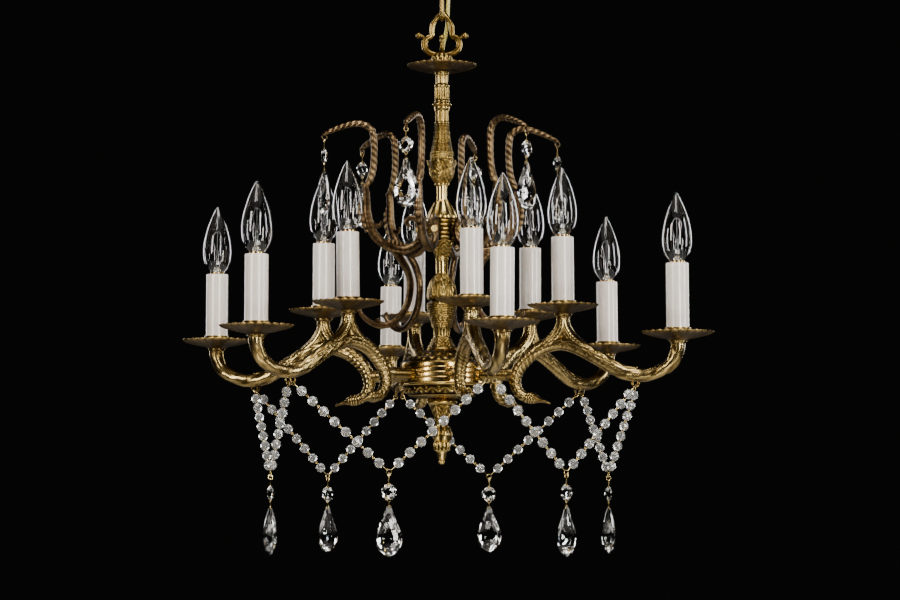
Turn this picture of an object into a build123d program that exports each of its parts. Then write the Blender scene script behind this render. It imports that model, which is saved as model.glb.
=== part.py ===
"""Twelve-light brass chandelier with swan-neck arms, bead garlands and crystal drops.

Millimetres, +Z up. The origin is the middle of the ceiling strap's upper face, where the
two ceiling screws fasten it. Everything hangs below, so heights are negative.
"""
import os
from math import cos, pi, radians, sin, tan

from build123d import *

os.makedirs("parts", exist_ok=True)

# ---- driving dimensions ---------------------------------------------------------------

ARM_COUNT = 6
FIRST_ARM = -16.7              # azimuth of the first arm, degrees from +X
FIRST_SCROLL = 13.3            # the scrolls stand midway between the arms
STEP_ANGLE = 360 / ARM_COUNT

ROD_R = 4.0                    # threaded steel pipe up the middle of the column
ROD_WIREWAY_R = 3.0
BORE_R = ROD_R + 0.15          # clearance hole for the pipe in each turned piece
NUT_R = 8.2                    # lamp pipe nut, to its corners
NUT_THICK = 4.0

# ceiling fitting
STRAP_LENGTH = 96.0
STRAP_WIDTH = 17.0
STRAP_THICK = 2.0
STRAP_SCREW_SPACING = 70.0
STRAP_SCREW_R = 2.3
CANOPY_R = 60.0
CANOPY_DEPTH = 24.0
SHEET = 1.2                    # spun brass sheet
NIPPLE_R = 5.0
NIPPLE_WIREWAY_R = 3.4
COLLAR_R = 7.5
COLLAR_LENGTH = 6.0
RING_R = 9.3                   # ring of the canopy loop, to the middle of its wire
RING_WIRE_R = 2.4

# chain
LINK_LENGTH = 38.0
LINK_WIDTH = 22.0
LINK_WIRE_R = 2.2
LINK_PLAY = 0.1                # gap between two links that hang in each other

# main stem, levels below the ceiling
LOOP_BAND_R = 3.3
LOOP_FOOT = -176.4
DISH_RIM = -183.2
DISH_FOOT = -191.4
SLEEVE_FOOT = -233.2
VASE_FOOT = -285.8
CUP_FOOT = -313.4
TUBE_FOOT = -330.5
BARREL_FOOT = -371.8
STEM_FOOT = -406.8
BULB_FOOT = -436.6
KNOP_FOOT = -464.1
DOME_FOOT = -501.8
DRUM_FOOT = -523.5
PAN_FOOT = -539.0
CONE_FOOT = -567.6
FINIAL_FOOT = -607.9
FINIAL_BORE = 12.0             # the pipe screws this deep into the finial, less a millimetre

DRUM_R = 43.7
DRUM_WALL = 1.8
ARM_LEVEL = -514.2             # where the arms screw into the drum

# candles
OUTER_R = 254.0
OUTER_RIM = -471.4
INNER_R = 132.0
INNER_RIM = -441.2
BOBECHE_R = 37.5
BOBECHE_DEPTH = 10.5
STUD_R = 4.9                   # threaded stud that holds dish, cup and lamp holder
SEAT_R = 9.4                   # flange under each dish
SLEEVE_R = 11.85
SLEEVE_WALL = 1.0
SLEEVE_TOP = 70.0              # above the dish rim
CUP_R = 13.4
LAMP_BASE_R = 5.9
BULB_R = 15.87
BULB_TOP = 144.0               # above the dish rim

# arms
ARM_R = 6.3
BOSS_R = 6.5
BOSS_START = 71.0
BOSS_BORE_END = 77.0
EYE_R = 3.2                    # garland rings under each arm
EYE_WIRE_R = 0.8
EYE_SPREAD = 3.5
EYE_OUT = 209.0
EYE_LEVEL = -525.2

# scrolls
SCROLL_R = 3.6
TAIL_R = 3.1
SCROLL_LEVEL = -361.0
BARREL_R = 15.1
SCROLL_SEAT_R = 4.2            # round pad between barrel and scroll
SCROLL_SCREW_R = 1.75
SCREW_HEAD_R = 3.4

# crystals
WIRE_R = 0.45
BEAD_R = 5.3
WIRE_GAP = 0.03                # between a wire's end and the piece it hangs from
BEADS_PER_SIDE = 8
BEAD_STEP = 15.6
GARLAND_DROP = 90.0
OCTAGON_R = 8.4
OCTAGON_THICK = 7.0
PEAR_GAP = 6.0                 # length of the wire between octagon and pear
PEAR_LENGTH = 50.0
PEAR_WIDTH = 28.0
PEAR_THICK = 13.0
DROP_WIRE = 6.0                # wire between a drop's eye and its octagon
HOOK_R = 2.4                   # wire eyes at the ends of garlands and drops
EYE_SINK = 0.65                # how far an eye's middle hangs below the wire that carries it

CORD_R = 2.0

ARM_ANGLES = [FIRST_ARM + STEP_ANGLE * i for i in range(ARM_COUNT)]
SCROLL_ANGLES = [FIRST_SCROLL + STEP_ANGLE * i for i in range(ARM_COUNT)]


# ---- helpers --------------------------------------------------------------------------

def save(part, name):
    """Label a finished piece and write it to its own file."""
    part.label = name
    export_step(part, f"parts/{name}.step")


def turned(outline, bore=BORE_R):
    """A lathe-turned piece: the outline's (radius, height) points run from top to bottom."""
    top = outline[0][1]
    foot = outline[-1][1]
    with BuildPart() as piece:
        with BuildSketch(Plane.XZ):
            with BuildLine():
                Polyline((bore, top), *outline, (bore, foot), close=True)
            make_face()
        revolve(axis=Axis.Z)
    return piece.part


def spun(outline, inner):
    """A spun sheet shell between an outer and an inner outline, each from rim to centre."""
    with BuildPart() as piece:
        with BuildSketch(Plane.XZ):
            with BuildLine():
                Polyline(*outline, *reversed(inner), close=True)
            make_face()
        revolve(axis=Axis.Z)
    return piece.part


def rod_between(start, end, radius):
    """A straight round wire from one point to another."""
    direction = Vector(*end) - Vector(*start)
    with BuildPart() as piece:
        with BuildSketch(Plane(origin=start, z_dir=direction)):
            Circle(radius)
        extrude(amount=direction.length)
    return piece.part


def wire_between(start, end):
    """A crystal wire that stops a hair short of both pieces it joins."""
    direction = (Vector(*end) - Vector(*start)).normalized()
    near = Vector(*start) + direction * WIRE_GAP
    far = Vector(*end) - direction * WIRE_GAP
    return rod_between(tuple(near), tuple(far), WIRE_R)


def ring(centre, normal, middle_r, wire_r):
    """A closed wire ring about a point."""
    with BuildPart() as piece:
        with Locations(Plane(origin=centre, z_dir=normal)):
            Torus(middle_r, wire_r)
    return piece.part


def polar(radius, angle, height):
    """A point at a radius and an azimuth in degrees."""
    return (radius * cos(radians(angle)), radius * sin(radians(angle)), height)


# ---- ceiling fitting ------------------------------------------------------------------

with BuildPart() as ceiling_strap:
    with BuildSketch(Plane.XY):
        Rectangle(STRAP_LENGTH, STRAP_WIDTH)
        with Locations((-STRAP_SCREW_SPACING / 2, 0), (STRAP_SCREW_SPACING / 2, 0)):
            Circle(STRAP_SCREW_R, mode=Mode.SUBTRACT)
        Circle(NIPPLE_R + 0.1, mode=Mode.SUBTRACT)
    extrude(amount=-STRAP_THICK)
save(ceiling_strap.part, "ceiling_strap")

canopy_outside = [(CANOPY_R, 0), (CANOPY_R, -2.5), (57, -5), (50, -8.5), (38, -12), (27, -17),
                  (20, -21), (13, -CANOPY_DEPTH), (NIPPLE_R + 0.15, -CANOPY_DEPTH)]
canopy_inside = [(CANOPY_R - SHEET, 0), (CANOPY_R - SHEET, -2), (56.3, -4), (49.6, -7.3),
                 (37.6, -10.7), (26.3, -15.7), (19.4, -19.7), (12.6, SHEET - CANOPY_DEPTH),
                 (NIPPLE_R + 0.15, SHEET - CANOPY_DEPTH)]
save(spun(canopy_outside, canopy_inside), "ceiling_canopy")

COLLAR_FOOT = -CANOPY_DEPTH - COLLAR_LENGTH
RING_LEVEL = COLLAR_FOOT - RING_R + 0.6
with BuildPart() as canopy_nipple:
    with BuildSketch(Plane.XY):
        Circle(NIPPLE_R)
        Circle(NIPPLE_WIREWAY_R, mode=Mode.SUBTRACT)
    extrude(amount=COLLAR_FOOT + 1.5)
    with BuildSketch(Plane.XY.offset(-STRAP_THICK)):
        RegularPolygon(NUT_R, 6)
        Circle(NIPPLE_R - 0.1, mode=Mode.SUBTRACT)
    extrude(amount=-NUT_THICK)
    with BuildSketch(Plane.XY.offset(SHEET - CANOPY_DEPTH)):
        RegularPolygon(NUT_R, 6)
        Circle(NIPPLE_R - 0.1, mode=Mode.SUBTRACT)
    extrude(amount=3)
save(canopy_nipple.part, "canopy_nipple")

with BuildPart() as canopy_loop:
    with BuildSketch(Plane.XY.offset(-CANOPY_DEPTH)):
        Circle(COLLAR_R)
    extrude(amount=-COLLAR_LENGTH)
    with Locations(Plane(origin=(0, 0, RING_LEVEL), z_dir=(0, 1, 0))):
        Torus(RING_R, RING_WIRE_R)
    with BuildSketch(Plane.XY.offset(-CANOPY_DEPTH)):
        Circle(NIPPLE_R + 0.05)
    extrude(amount=COLLAR_FOOT + 1.5 + CANOPY_DEPTH, mode=Mode.SUBTRACT)
    with BuildSketch(Plane.XY.offset(-CANOPY_DEPTH)):
        Circle(NIPPLE_WIREWAY_R)
    extrude(amount=-COLLAR_LENGTH - 4, mode=Mode.SUBTRACT)
save(canopy_loop.part, "canopy_loop")

# ---- chain ----------------------------------------------------------------------------

LINK_STRAIGHT = LINK_LENGTH - LINK_WIDTH
LINK_BEND_R = LINK_WIDTH / 2 - LINK_WIRE_R
LINK_REACH = LINK_LENGTH - 2 * LINK_WIRE_R       # wire middle to wire middle
LINK_PITCH = LINK_REACH - 2 * LINK_WIRE_R - LINK_PLAY
FIRST_LINK_TOP = RING_LEVEL - RING_R + RING_WIRE_R + LINK_WIRE_R + LINK_PLAY

for number in range(3):
    middle = FIRST_LINK_TOP - LINK_REACH / 2 - number * LINK_PITCH
    across = Plane.YZ if number % 2 == 0 else Plane.XZ
    face_on = Plane(origin=(0, 0, middle), x_dir=across.x_dir, z_dir=across.z_dir)
    with BuildPart() as chain_link:
        with BuildLine(face_on) as route:
            side = Line((LINK_BEND_R, -LINK_STRAIGHT / 2), (LINK_BEND_R, LINK_STRAIGHT / 2))
            head = TangentArc(side @ 1, (-LINK_BEND_R, LINK_STRAIGHT / 2), tangent=side % 1)
            back = Line(head @ 1, (-LINK_BEND_R, -LINK_STRAIGHT / 2))
            TangentArc(back @ 1, side @ 0, tangent=back % 1)
        with BuildSketch(Plane(origin=side @ 0, z_dir=side % 0)):
            Circle(LINK_WIRE_R)
        sweep(path=route.line)
    save(chain_link.part, f"chain_link_{number + 1}")

LAST_LINK_FOOT = FIRST_LINK_TOP - LINK_REACH - 2 * LINK_PITCH
ARCH_TOP = LAST_LINK_FOOT + LINK_WIRE_R + LINK_PLAY + LOOP_BAND_R
APEX_RISE = 2.5                # the corner stands above the rounded apex by this much

# ---- top loop: a lyre-shaped arch on a round foot --------------------------------------

arch_side = [(9.0, ARCH_TOP - 6.5), (10.4, -150.0), (19.5, -158.5), (18.5, -168.0)]
arch_points = ([(-8.0, LOOP_FOOT + 3)] + [(-x, z) for x, z in reversed(arch_side)]
               + [(0, ARCH_TOP + APEX_RISE)] + arch_side + [(8.0, LOOP_FOOT + 3)])
with BuildPart() as top_loop:
    with BuildLine(Plane.XZ) as arch:
        FilletPolyline(*arch_points, radius=[6, 5, 9, 6, 6, 6, 9, 5, 6])
    with BuildSketch(Plane(origin=arch.line @ 0, z_dir=arch.line % 0)):
        Circle(LOOP_BAND_R)
    sweep(path=arch.line)
    with Locations((-24.5, 0, -152.5), (24.5, 0, -152.5)):
        Sphere(3.4)
    for side in (-1, 1):
        with BuildSketch(Plane(origin=(side * 24.5, 0, -152.5), z_dir=(-side * 7, 0, -8))):
            Circle(1.8)
        extrude(amount=8)
    for side in (-1, 1):
        with BuildLine(Plane.YZ) as hook:
            FilletPolyline((side * 7, LOOP_FOOT + 3), (side * 11, -166.5), (side * 7.5, -160.5),
                           (side * 11.5, -156.0), radius=3)
        with BuildSketch(Plane(origin=hook.line @ 0, z_dir=hook.line % 0)):
            Circle(1.6)
        sweep(path=hook.line)
        with Locations((0, side * 11.5, -155.5)):
            Sphere(3.0)
    with BuildSketch(Plane.XY.offset(LOOP_FOOT)):
        Circle(11.4)
    extrude(amount=4.6)
    with BuildSketch(Plane.XY.offset(LOOP_FOOT)):
        Circle(BORE_R)
    extrude(amount=8, mode=Mode.SUBTRACT)
save(top_loop.part, "top_loop")

# ---- main stem, from the top dish to the finial ----------------------------------------

dish_outside = [(BOBECHE_R, DISH_RIM), (36.3, DISH_RIM - 2.2), (27, DISH_RIM - 4.6),
                (15, DISH_RIM - 6.4), (8, DISH_FOOT), (BORE_R, DISH_FOOT)]
dish_inside = [(36.6, DISH_RIM), (35.2, DISH_RIM - 0.9), (26, DISH_RIM - 3.2),
               (13, DISH_RIM - 4.6), (11.4, LOOP_FOOT), (BORE_R, LOOP_FOOT)]
save(spun(dish_outside, dish_inside), "top_dish")

save(turned([(7.3, DISH_FOOT), (7.3, -194.8), (6.6, -195.6), (6.6, -204.6), (7.8, -205.6),
             (7.8, -207.8), (7.9, -209), (7.9, -221.4), (7.6, -222.6), (7.6, -224.6),
             (10.1, -225.2), (10.1, -228.8), (7.8, -229.4), (7.8, SLEEVE_FOOT)]), "upper_sleeve")

save(turned([(6.6, SLEEVE_FOOT), (6.6, -245.2), (7.4, -246.4), (8.1, -256), (9.4, -264.6),
             (11.3, -276), (12.2, -280.5), (12.2, VASE_FOOT)]), "reeded_vase")

save(turned([(15.5, VASE_FOOT), (14.8, -290.5), (13.3, -296.2), (11.6, -303), (9.2, -308.5),
             (7.0, -311.2), (7.0, CUP_FOOT)]), "leaf_cup")

save(turned([(5.6, CUP_FOOT), (5.6, -328.6), (6.4, -329.2), (6.4, TUBE_FOOT)]), "neck_tube")

with BuildPart() as ribbed_barrel:
    add(turned([(7.8, TUBE_FOOT), (11.5, -336), (14.6, -344), (BARREL_R, -347.6),
                (BARREL_R, BARREL_FOOT)]))
    for angle in SCROLL_ANGLES:
        seat = Plane(origin=polar(BARREL_R - 1.5, angle, SCROLL_LEVEL),
                     z_dir=polar(1, angle, 0))
        with BuildSketch(seat):
            Circle(SCROLL_SEAT_R)
        extrude(amount=4.6)
    for angle in SCROLL_ANGLES:
        hole = Plane(origin=polar(10, angle, SCROLL_LEVEL), z_dir=polar(1, angle, 0))
        with BuildSketch(hole):
            Circle(SCROLL_SCREW_R + 0.1)
        extrude(amount=12, mode=Mode.SUBTRACT)
save(ribbed_barrel.part, "ribbed_barrel")

save(turned([(12.4, BARREL_FOOT), (11.5, -377), (8.6, -385.5), (6.4, -388), (6.4, -393),
             (5.6, -394.4), (5.6, STEM_FOOT)]), "lower_stem")

save(turned([(5.9, STEM_FOOT), (8.6, -410), (12.2, -416), (15.2, -423), (15.8, -431),
             (15.2, -435), (14, BULB_FOOT)]), "leaf_bulb")

save(turned([(14, BULB_FOOT), (16.4, -439), (16, -444.5), (13.6, -453), (10.8, -461),
             (10.2, KNOP_FOOT)]), "leaf_knop")

HUB_NECK = -473.6
dome_outside = [(9, KNOP_FOOT), (8.2, HUB_NECK), (11.5, -479.5), (15.3, -486.8), (15.3, -488.2),
                (21.2, -488.8), (27.4, -493.6), (37, -496.2), (DRUM_R - 0.4, DOME_FOOT),
                (BORE_R, DOME_FOOT)]
with BuildPart() as hub_dome:
    with BuildSketch(Plane.XZ):
        with BuildLine():
            Polyline((BORE_R, KNOP_FOOT), *dome_outside, close=True)
        make_face()
    revolve(axis=Axis.Z)
    with BuildSketch(Plane.XZ):
        with BuildLine():
            Polyline((12, -493), (22, -493), (27.2, -497), (36.5, -499.6), (38.5, DOME_FOOT),
                     (12, DOME_FOOT), close=True)
        make_face()
    revolve(axis=Axis.Z, mode=Mode.SUBTRACT)
save(hub_dome.part, "hub_dome")

with BuildPart() as hub_drum:
    with BuildSketch(Plane.XY.offset(DRUM_FOOT)):
        Circle(DRUM_R)
        Circle(DRUM_R - DRUM_WALL, mode=Mode.SUBTRACT)
    extrude(amount=DOME_FOOT - DRUM_FOOT)
    for angle in ARM_ANGLES:
        with BuildSketch(Plane(origin=polar(30, angle, ARM_LEVEL), z_dir=polar(1, angle, 0))):
            Circle(STUD_R + 0.1)
        extrude(amount=30, mode=Mode.SUBTRACT)
save(hub_drum.part, "hub_drum")

pan_outside = [(DRUM_R - 0.4, DRUM_FOOT), (42.4, -526), (38, -532), (28, -537.6), (12, PAN_FOOT),
               (BORE_R, PAN_FOOT)]
pan_inside = [(DRUM_R - 0.4 - DRUM_WALL, DRUM_FOOT), (40.6, -525.6), (37, -530.6),
              (27.6, -536), (12, -537.4), (BORE_R, -537.4)]
save(spun(pan_outside, pan_inside), "hub_pan")

save(turned([(13, PAN_FOOT), (15.8, -541.4), (15.8, -545), (12.4, -548), (8.8, -556.5),
             (6, -563), (5.4, CONE_FOOT)]), "bottom_cone")

with BuildPart() as finial:
    with BuildSketch(Plane.XZ):
        with BuildLine():
            Polyline((0, CONE_FOOT), (6.6, CONE_FOOT), (8.4, -570.5), (10, -576.4),
                     (8.8, -581.6), (8, -584), (8, -593.4), (4.4, -594.6), (2.8, -602.8),
                     (2.2, -603.6), (2.5, -605.2), (1.8, -607.2), (0, FINIAL_FOOT), close=True)
        make_face()
    revolve(axis=Axis.Z)
    with BuildSketch(Plane.XY.offset(CONE_FOOT)):
        Circle(BORE_R)
    extrude(amount=-FINIAL_BORE, mode=Mode.SUBTRACT)
save(finial.part, "finial")

with BuildPart() as center_rod:
    with BuildSketch(Plane.XY.offset(CONE_FOOT - FINIAL_BORE + 1)):
        Circle(ROD_R)
        Circle(ROD_WIREWAY_R, mode=Mode.SUBTRACT)
    extrude(amount=LOOP_FOOT + 4 - CONE_FOOT + FINIAL_BORE - 1)
save(center_rod.part, "center_rod")

with BuildPart() as rod_nuts:
    for level in (DOME_FOOT, PAN_FOOT + SHEET + 4.4):
        with BuildSketch(Plane.XY.offset(level)):
            RegularPolygon(NUT_R, 6)
            Circle(BORE_R, mode=Mode.SUBTRACT)
        extrude(amount=-NUT_THICK)
save(rod_nuts.part, "rod_nuts")

# ---- arms -----------------------------------------------------------------------------

ARM_ROUTE = [(OUTER_R, OUTER_RIM - BOBECHE_DEPTH - 2), (OUTER_R, -517), (206, -517.5),
             (133, -477.6), (79.5, -494), (79.5, -539), (97, -540.5)]
ARM_BENDS = [24, 44, 42, 30, 15]
HEAD = (97.0, -539.8)
BEAK_TIP = (116.0, -543.5)

with BuildPart() as arm:
    with BuildLine(Plane.XZ) as arm_line:
        FilletPolyline(*ARM_ROUTE, radius=ARM_BENDS)
    with BuildSketch(Plane(origin=arm_line.line @ 0, z_dir=arm_line.line % 0)):
        Circle(ARM_R)
    sweep(path=arm_line.line)
    # head and beak of the swan
    with Locations((HEAD[0], 0, HEAD[1])):
        Sphere(7.6)
    beak = Vector(BEAK_TIP[0] - HEAD[0], 0, BEAK_TIP[1] - HEAD[1])
    with BuildSketch(Plane(origin=(HEAD[0] + 3, 0, HEAD[1] - 0.6), z_dir=beak)):
        Circle(6)
    with BuildSketch(Plane(origin=(BEAK_TIP[0], 0, BEAK_TIP[1]), z_dir=beak)):
        Circle(1.5)
    loft()
    # seats, stems and studs of the outer and the inner candle
    with BuildSketch(Plane.XZ):
        with BuildLine():
            outer_seat = OUTER_RIM - BOBECHE_DEPTH
            Polyline((OUTER_R, outer_seat - 8), (OUTER_R + 6.6, outer_seat - 8),
                     (OUTER_R + SEAT_R, outer_seat - 1.6), (OUTER_R + SEAT_R, outer_seat),
                     (OUTER_R + STUD_R, outer_seat),
                     (OUTER_R + STUD_R, OUTER_RIM - 1), (OUTER_R, OUTER_RIM - 1), close=True)
        make_face()
    revolve(axis=Axis(origin=(OUTER_R, 0, 0), direction=(0, 0, 1)))
    with BuildSketch(Plane.XZ):
        with BuildLine():
            inner_seat = INNER_RIM - BOBECHE_DEPTH
            Polyline((INNER_R, -484), (INNER_R + 7.4, -484), (INNER_R + 6.6, -468),
                     (INNER_R + 7, inner_seat - 6), (INNER_R + SEAT_R, inner_seat - 1.6),
                     (INNER_R + SEAT_R, inner_seat), (INNER_R + STUD_R, inner_seat),
                     (INNER_R + STUD_R, INNER_RIM - 1),
                     (INNER_R, INNER_RIM - 1), close=True)
        make_face()
    revolve(axis=Axis(origin=(INNER_R, 0, 0), direction=(0, 0, 1)))
    # boss that screws onto the pipe from the hub
    with BuildSketch(Plane(origin=(BOSS_START, 0, ARM_LEVEL), z_dir=(1, 0, 0))):
        Circle(BOSS_R)
    extrude(amount=79.5 - BOSS_START)
    with BuildSketch(Plane(origin=(BOSS_START, 0, ARM_LEVEL), z_dir=(1, 0, 0))):
        Circle(STUD_R + 0.1)
    extrude(amount=BOSS_BORE_END - BOSS_START, mode=Mode.SUBTRACT)
    # two small rings under the bend, one for each garland
    for side in (-1, 1):
        with Locations(Plane(origin=(EYE_OUT, side * EYE_SPREAD, EYE_LEVEL), z_dir=(0, 1, 0))):
            Torus(EYE_R, EYE_WIRE_R)

for number, angle in enumerate(ARM_ANGLES):
    save(arm.part.rotate(Axis.Z, angle), f"arm_{number + 1}")

with BuildPart() as pipe:
    toward_arm = Plane(origin=(34, 0, ARM_LEVEL), z_dir=(1, 0, 0))
    with BuildSketch(toward_arm):
        Circle(STUD_R)
    extrude(amount=BOSS_BORE_END - 34 - 0.2)
    with BuildSketch(toward_arm.offset(DRUM_R - 34)):
        Circle(BOSS_R)
    extrude(amount=BOSS_START - DRUM_R)
    with BuildSketch(toward_arm):
        Circle(3.2)
    extrude(amount=60, mode=Mode.SUBTRACT)

with BuildPart() as arm_nipples:
    for angle in ARM_ANGLES:
        add(pipe.part.rotate(Axis.Z, angle))
save(arm_nipples.part, "arm_nipples")

with BuildPart() as arm_nuts:
    for angle in ARM_ANGLES:
        with BuildSketch(Plane(origin=polar(36.4, angle, ARM_LEVEL), z_dir=polar(1, angle, 0))):
            RegularPolygon(8, 6)
            Circle(STUD_R + 0.1, mode=Mode.SUBTRACT)
        extrude(amount=4.4)
save(arm_nuts.part, "arm_nuts")

# ---- candles: every piece is drawn at its rim height and repeated at the twelve seats ---

SEATS = ([Location(polar(OUTER_R, angle, OUTER_RIM)) for angle in ARM_ANGLES]
         + [Location(polar(INNER_R, angle, INNER_RIM)) for angle in ARM_ANGLES])


def at_seats(one, name):
    """Repeat one candle piece at all the seats, as separate solids in one node."""
    with BuildPart() as group:
        with Locations(*SEATS):
            add(one)
    save(group.part, name)


CUP_FLOOR = -BOBECHE_DEPTH + SHEET
at_seats(spun([(BOBECHE_R, 0), (36.6, -2.2), (28, -5.6), (15, -8.8), (12.4, -BOBECHE_DEPTH),
               (STUD_R + 0.1, -BOBECHE_DEPTH)],
              [(36.4, 0), (35.4, -1.2), (27, -4.3), (14.4, -7.4), (11.6, CUP_FLOOR),
               (STUD_R + 0.1, CUP_FLOOR)]), "bobeches")

at_seats(spun([(CUP_R, 3.2), (CUP_R, -6.6), (11.2, CUP_FLOOR), (STUD_R + 0.1, CUP_FLOOR)],
              [(SLEEVE_R + 0.05, 3.2), (SLEEVE_R + 0.05, -6.2), (STUD_R + 0.1, -6.2)]),
         "candle_cups")

at_seats(spun([(SLEEVE_R, SLEEVE_TOP), (SLEEVE_R, -6.2)],
              [(SLEEVE_R - SLEEVE_WALL, SLEEVE_TOP), (SLEEVE_R - SLEEVE_WALL, -6.2)]),
         "candle_sleeves")

with BuildPart() as socket:
    with BuildSketch(Plane.XZ):
        with BuildLine():
            Polyline((0, -1), (3.4, -1), (3.4, 36), (9.8, 36), (9.8, 68), (6.3, 68), (6.3, 53),
                     (0, 53), close=True)
        make_face()
    revolve(axis=Axis.Z)
at_seats(socket.part, "lamp_sockets")

with BuildPart() as lamp_base:
    with BuildSketch(Plane.XZ):
        with BuildLine():
            Polyline((0, 53.5), (2.4, 53.5), (LAMP_BASE_R, 57), (LAMP_BASE_R, 69.4),
                     (7.6, 70.6), (7.6, 72), (0, 72), close=True)
        make_face()
    revolve(axis=Axis.Z)
at_seats(lamp_base.part, "bulb_bases")

GLASS_WALL = 0.8
with BuildPart() as glass:
    with BuildSketch(Plane.XZ):
        with BuildLine():
            shoulder = Spline((7.6, 72), (12.4, 80), (BULB_R, 97), (12.9, 117), (5.6, 133),
                              (2.2, 140), (0, BULB_TOP))
            lining = Spline((0, BULB_TOP - 4), (4.6, 133), (12.9 - GLASS_WALL, 116.6),
                            (BULB_R - GLASS_WALL, 97), (11.6, 80.6), (7.6 - GLASS_WALL, 73))
            Line(shoulder @ 1, lining @ 0)
            Polyline(lining @ 1, (0, 73), (0, 72), shoulder @ 0)
        make_face()
    revolve(axis=Axis.Z)
at_seats(glass.part, "bulb_glass")

with BuildPart() as mount:
    with BuildSketch(Plane.XZ):
        with BuildLine():
            Polyline((0, 73), (4.2, 73), (3, 79), (1.6, 90), (0, 90), close=True)
        make_face()
    revolve(axis=Axis.Z)
    for side in (-1, 1):
        add(rod_between((side * 0.9, 0, 88), (side * 6, 0, 100), 0.3))
    add(rod_between((-6, 0, 100), (6, 0, 100), 0.3))
at_seats(mount.part, "bulb_filaments")

# ---- scroll brackets on the barrel ------------------------------------------------------

SCROLL_ROUTE = [(126, -261.2), (104, -250), (74.5, -248), (73, -290), (81, -318), (83, -384),
                (23, -388), (22.6, -347.5), (39.5, -348.5), (38.6, -355)]
SCROLL_BENDS = [50, 9, 70, 70, 27, 27, 8, 4.5]
TAIL_ROUTE = [(50, -384.5), (33.5, -406), (33.5, -438), (53, -465.5), (71.5, -464), (70, -453)]
TAIL_BENDS = [30, 30, 16, 7]
TIP_RING = (127.0, -265.2)
TIP_RING_R = 2.6
TIP_RING_WIRE_R = 0.8

SCROLL_SEAT_END = BARREL_R + 3.1
FRONT_SCROLL = 4
SCREW_HEAD_START = 22.6 + SCROLL_R - 0.2


def bracket_bar(route, bends, radius):
    """A round bar along a route in the XZ plane."""
    with BuildPart() as bar:
        with BuildLine(Plane.XZ) as bar_line:
            FilletPolyline(*route, radius=bends)
        with BuildSketch(Plane(origin=bar_line.line @ 0, z_dir=bar_line.line % 0)):
            Circle(radius)
        sweep(path=bar_line.line)
    return bar.part


with BuildPart() as scroll:
    add(bracket_bar(SCROLL_ROUTE, SCROLL_BENDS, SCROLL_R))
    with Locations(Plane(origin=(TIP_RING[0], 0, TIP_RING[1]), z_dir=(0, 1, 0))):
        Torus(TIP_RING_R, TIP_RING_WIRE_R)
    # flat foot that seats on the barrel, and its screw hole
    with BuildSketch(Plane(origin=(SCROLL_SEAT_END, 0, SCROLL_LEVEL), z_dir=(1, 0, 0))):
        Circle(SCROLL_SEAT_R)
    extrude(amount=5)
    with BuildSketch(Plane(origin=(0, 0, SCROLL_LEVEL), z_dir=(1, 0, 0))):
        Rectangle(30, 30)
    extrude(amount=SCROLL_SEAT_END, mode=Mode.SUBTRACT)
    with BuildSketch(Plane(origin=(BARREL_R + 3, 0, SCROLL_LEVEL), z_dir=(1, 0, 0))):
        Circle(SCROLL_SCREW_R + 0.1)
    extrude(amount=12, mode=Mode.SUBTRACT)
    with BuildSketch(Plane(origin=(SCREW_HEAD_START, 0, SCROLL_LEVEL), z_dir=(1, 0, 0))):
        Circle(SCREW_HEAD_R + 0.1)
    extrude(amount=6, mode=Mode.SUBTRACT)

# the front bracket has no tail, so that it doesn't cross the column
with BuildPart() as tailed_scroll:
    add(scroll.part)
    add(bracket_bar(TAIL_ROUTE, TAIL_BENDS, TAIL_R))

with BuildPart() as scrolls:
    for number, angle in enumerate(SCROLL_ANGLES):
        bracket = scroll if number == FRONT_SCROLL else tailed_scroll
        add(bracket.part.rotate(Axis.Z, angle))
save(scrolls.part, "scrolls")

with BuildPart() as scroll_screws:
    for angle in SCROLL_ANGLES:
        with BuildSketch(Plane(origin=polar(11, angle, SCROLL_LEVEL), z_dir=polar(1, angle, 0))):
            Circle(SCROLL_SCREW_R)
        extrude(amount=SCREW_HEAD_START - 11)
        with BuildSketch(Plane(origin=polar(SCREW_HEAD_START, angle, SCROLL_LEVEL),
                               z_dir=polar(1, angle, 0))):
            Circle(SCREW_HEAD_R)
        extrude(amount=2)
save(scroll_screws.part, "scroll_screws")

# ---- crystals ---------------------------------------------------------------------------

def octagon_bead(centre, facing):
    """A bevelled eight-sided crystal seen flat from the facing direction."""
    with BuildPart() as bead:
        with BuildSketch(Plane(origin=centre, x_dir=(0, 0, 1), z_dir=facing)):
            RegularPolygon(OCTAGON_R, 8, rotation=22.5)
        extrude(amount=OCTAGON_THICK / 2, both=True, taper=30)
    return bead.part


def pear_drop(top, facing):
    """A flat almond-shaped crystal, thickest low down, that hangs from its narrow top."""
    half = PEAR_WIDTH / 2
    x, y, z = top
    with BuildPart() as drop:
        with BuildSketch(Plane(origin=(x, y, z), x_dir=(-facing[1], facing[0], 0),
                               z_dir=facing)):
            with BuildLine():
                right = Polyline((0, 0), (3, -1), (6.2, -10), (half - 1, -24), (half, -31),
                                 (half - 4.4, -42), (0, -PEAR_LENGTH))
                mirror(right, about=Plane.YZ)
            make_face()
        extrude(amount=PEAR_THICK / 2, both=True, taper=38)
    return drop.part


def crystal_drop(pivot, facing, along):
    """Wire eye, octagon, wire link and pear drop, hanging straight down from a pivot."""
    x, y, z = pivot
    eye_centre = (x, y, z - EYE_SINK)
    eye_foot = eye_centre[2] - HOOK_R - WIRE_R
    octagon_top = eye_foot - DROP_WIRE
    octagon_half = OCTAGON_R * cos(pi / 8)
    octagon_foot = octagon_top - 2 * octagon_half
    pear_top = octagon_foot - PEAR_GAP
    return [ring(eye_centre, along, HOOK_R, WIRE_R),
            wire_between((x, y, eye_foot), (x, y, octagon_top)),
            octagon_bead((x, y, octagon_top - octagon_half), facing),
            wire_between((x, y, octagon_foot), (x, y, pear_top)),
            pear_drop((x, y, pear_top), facing)]


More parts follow.
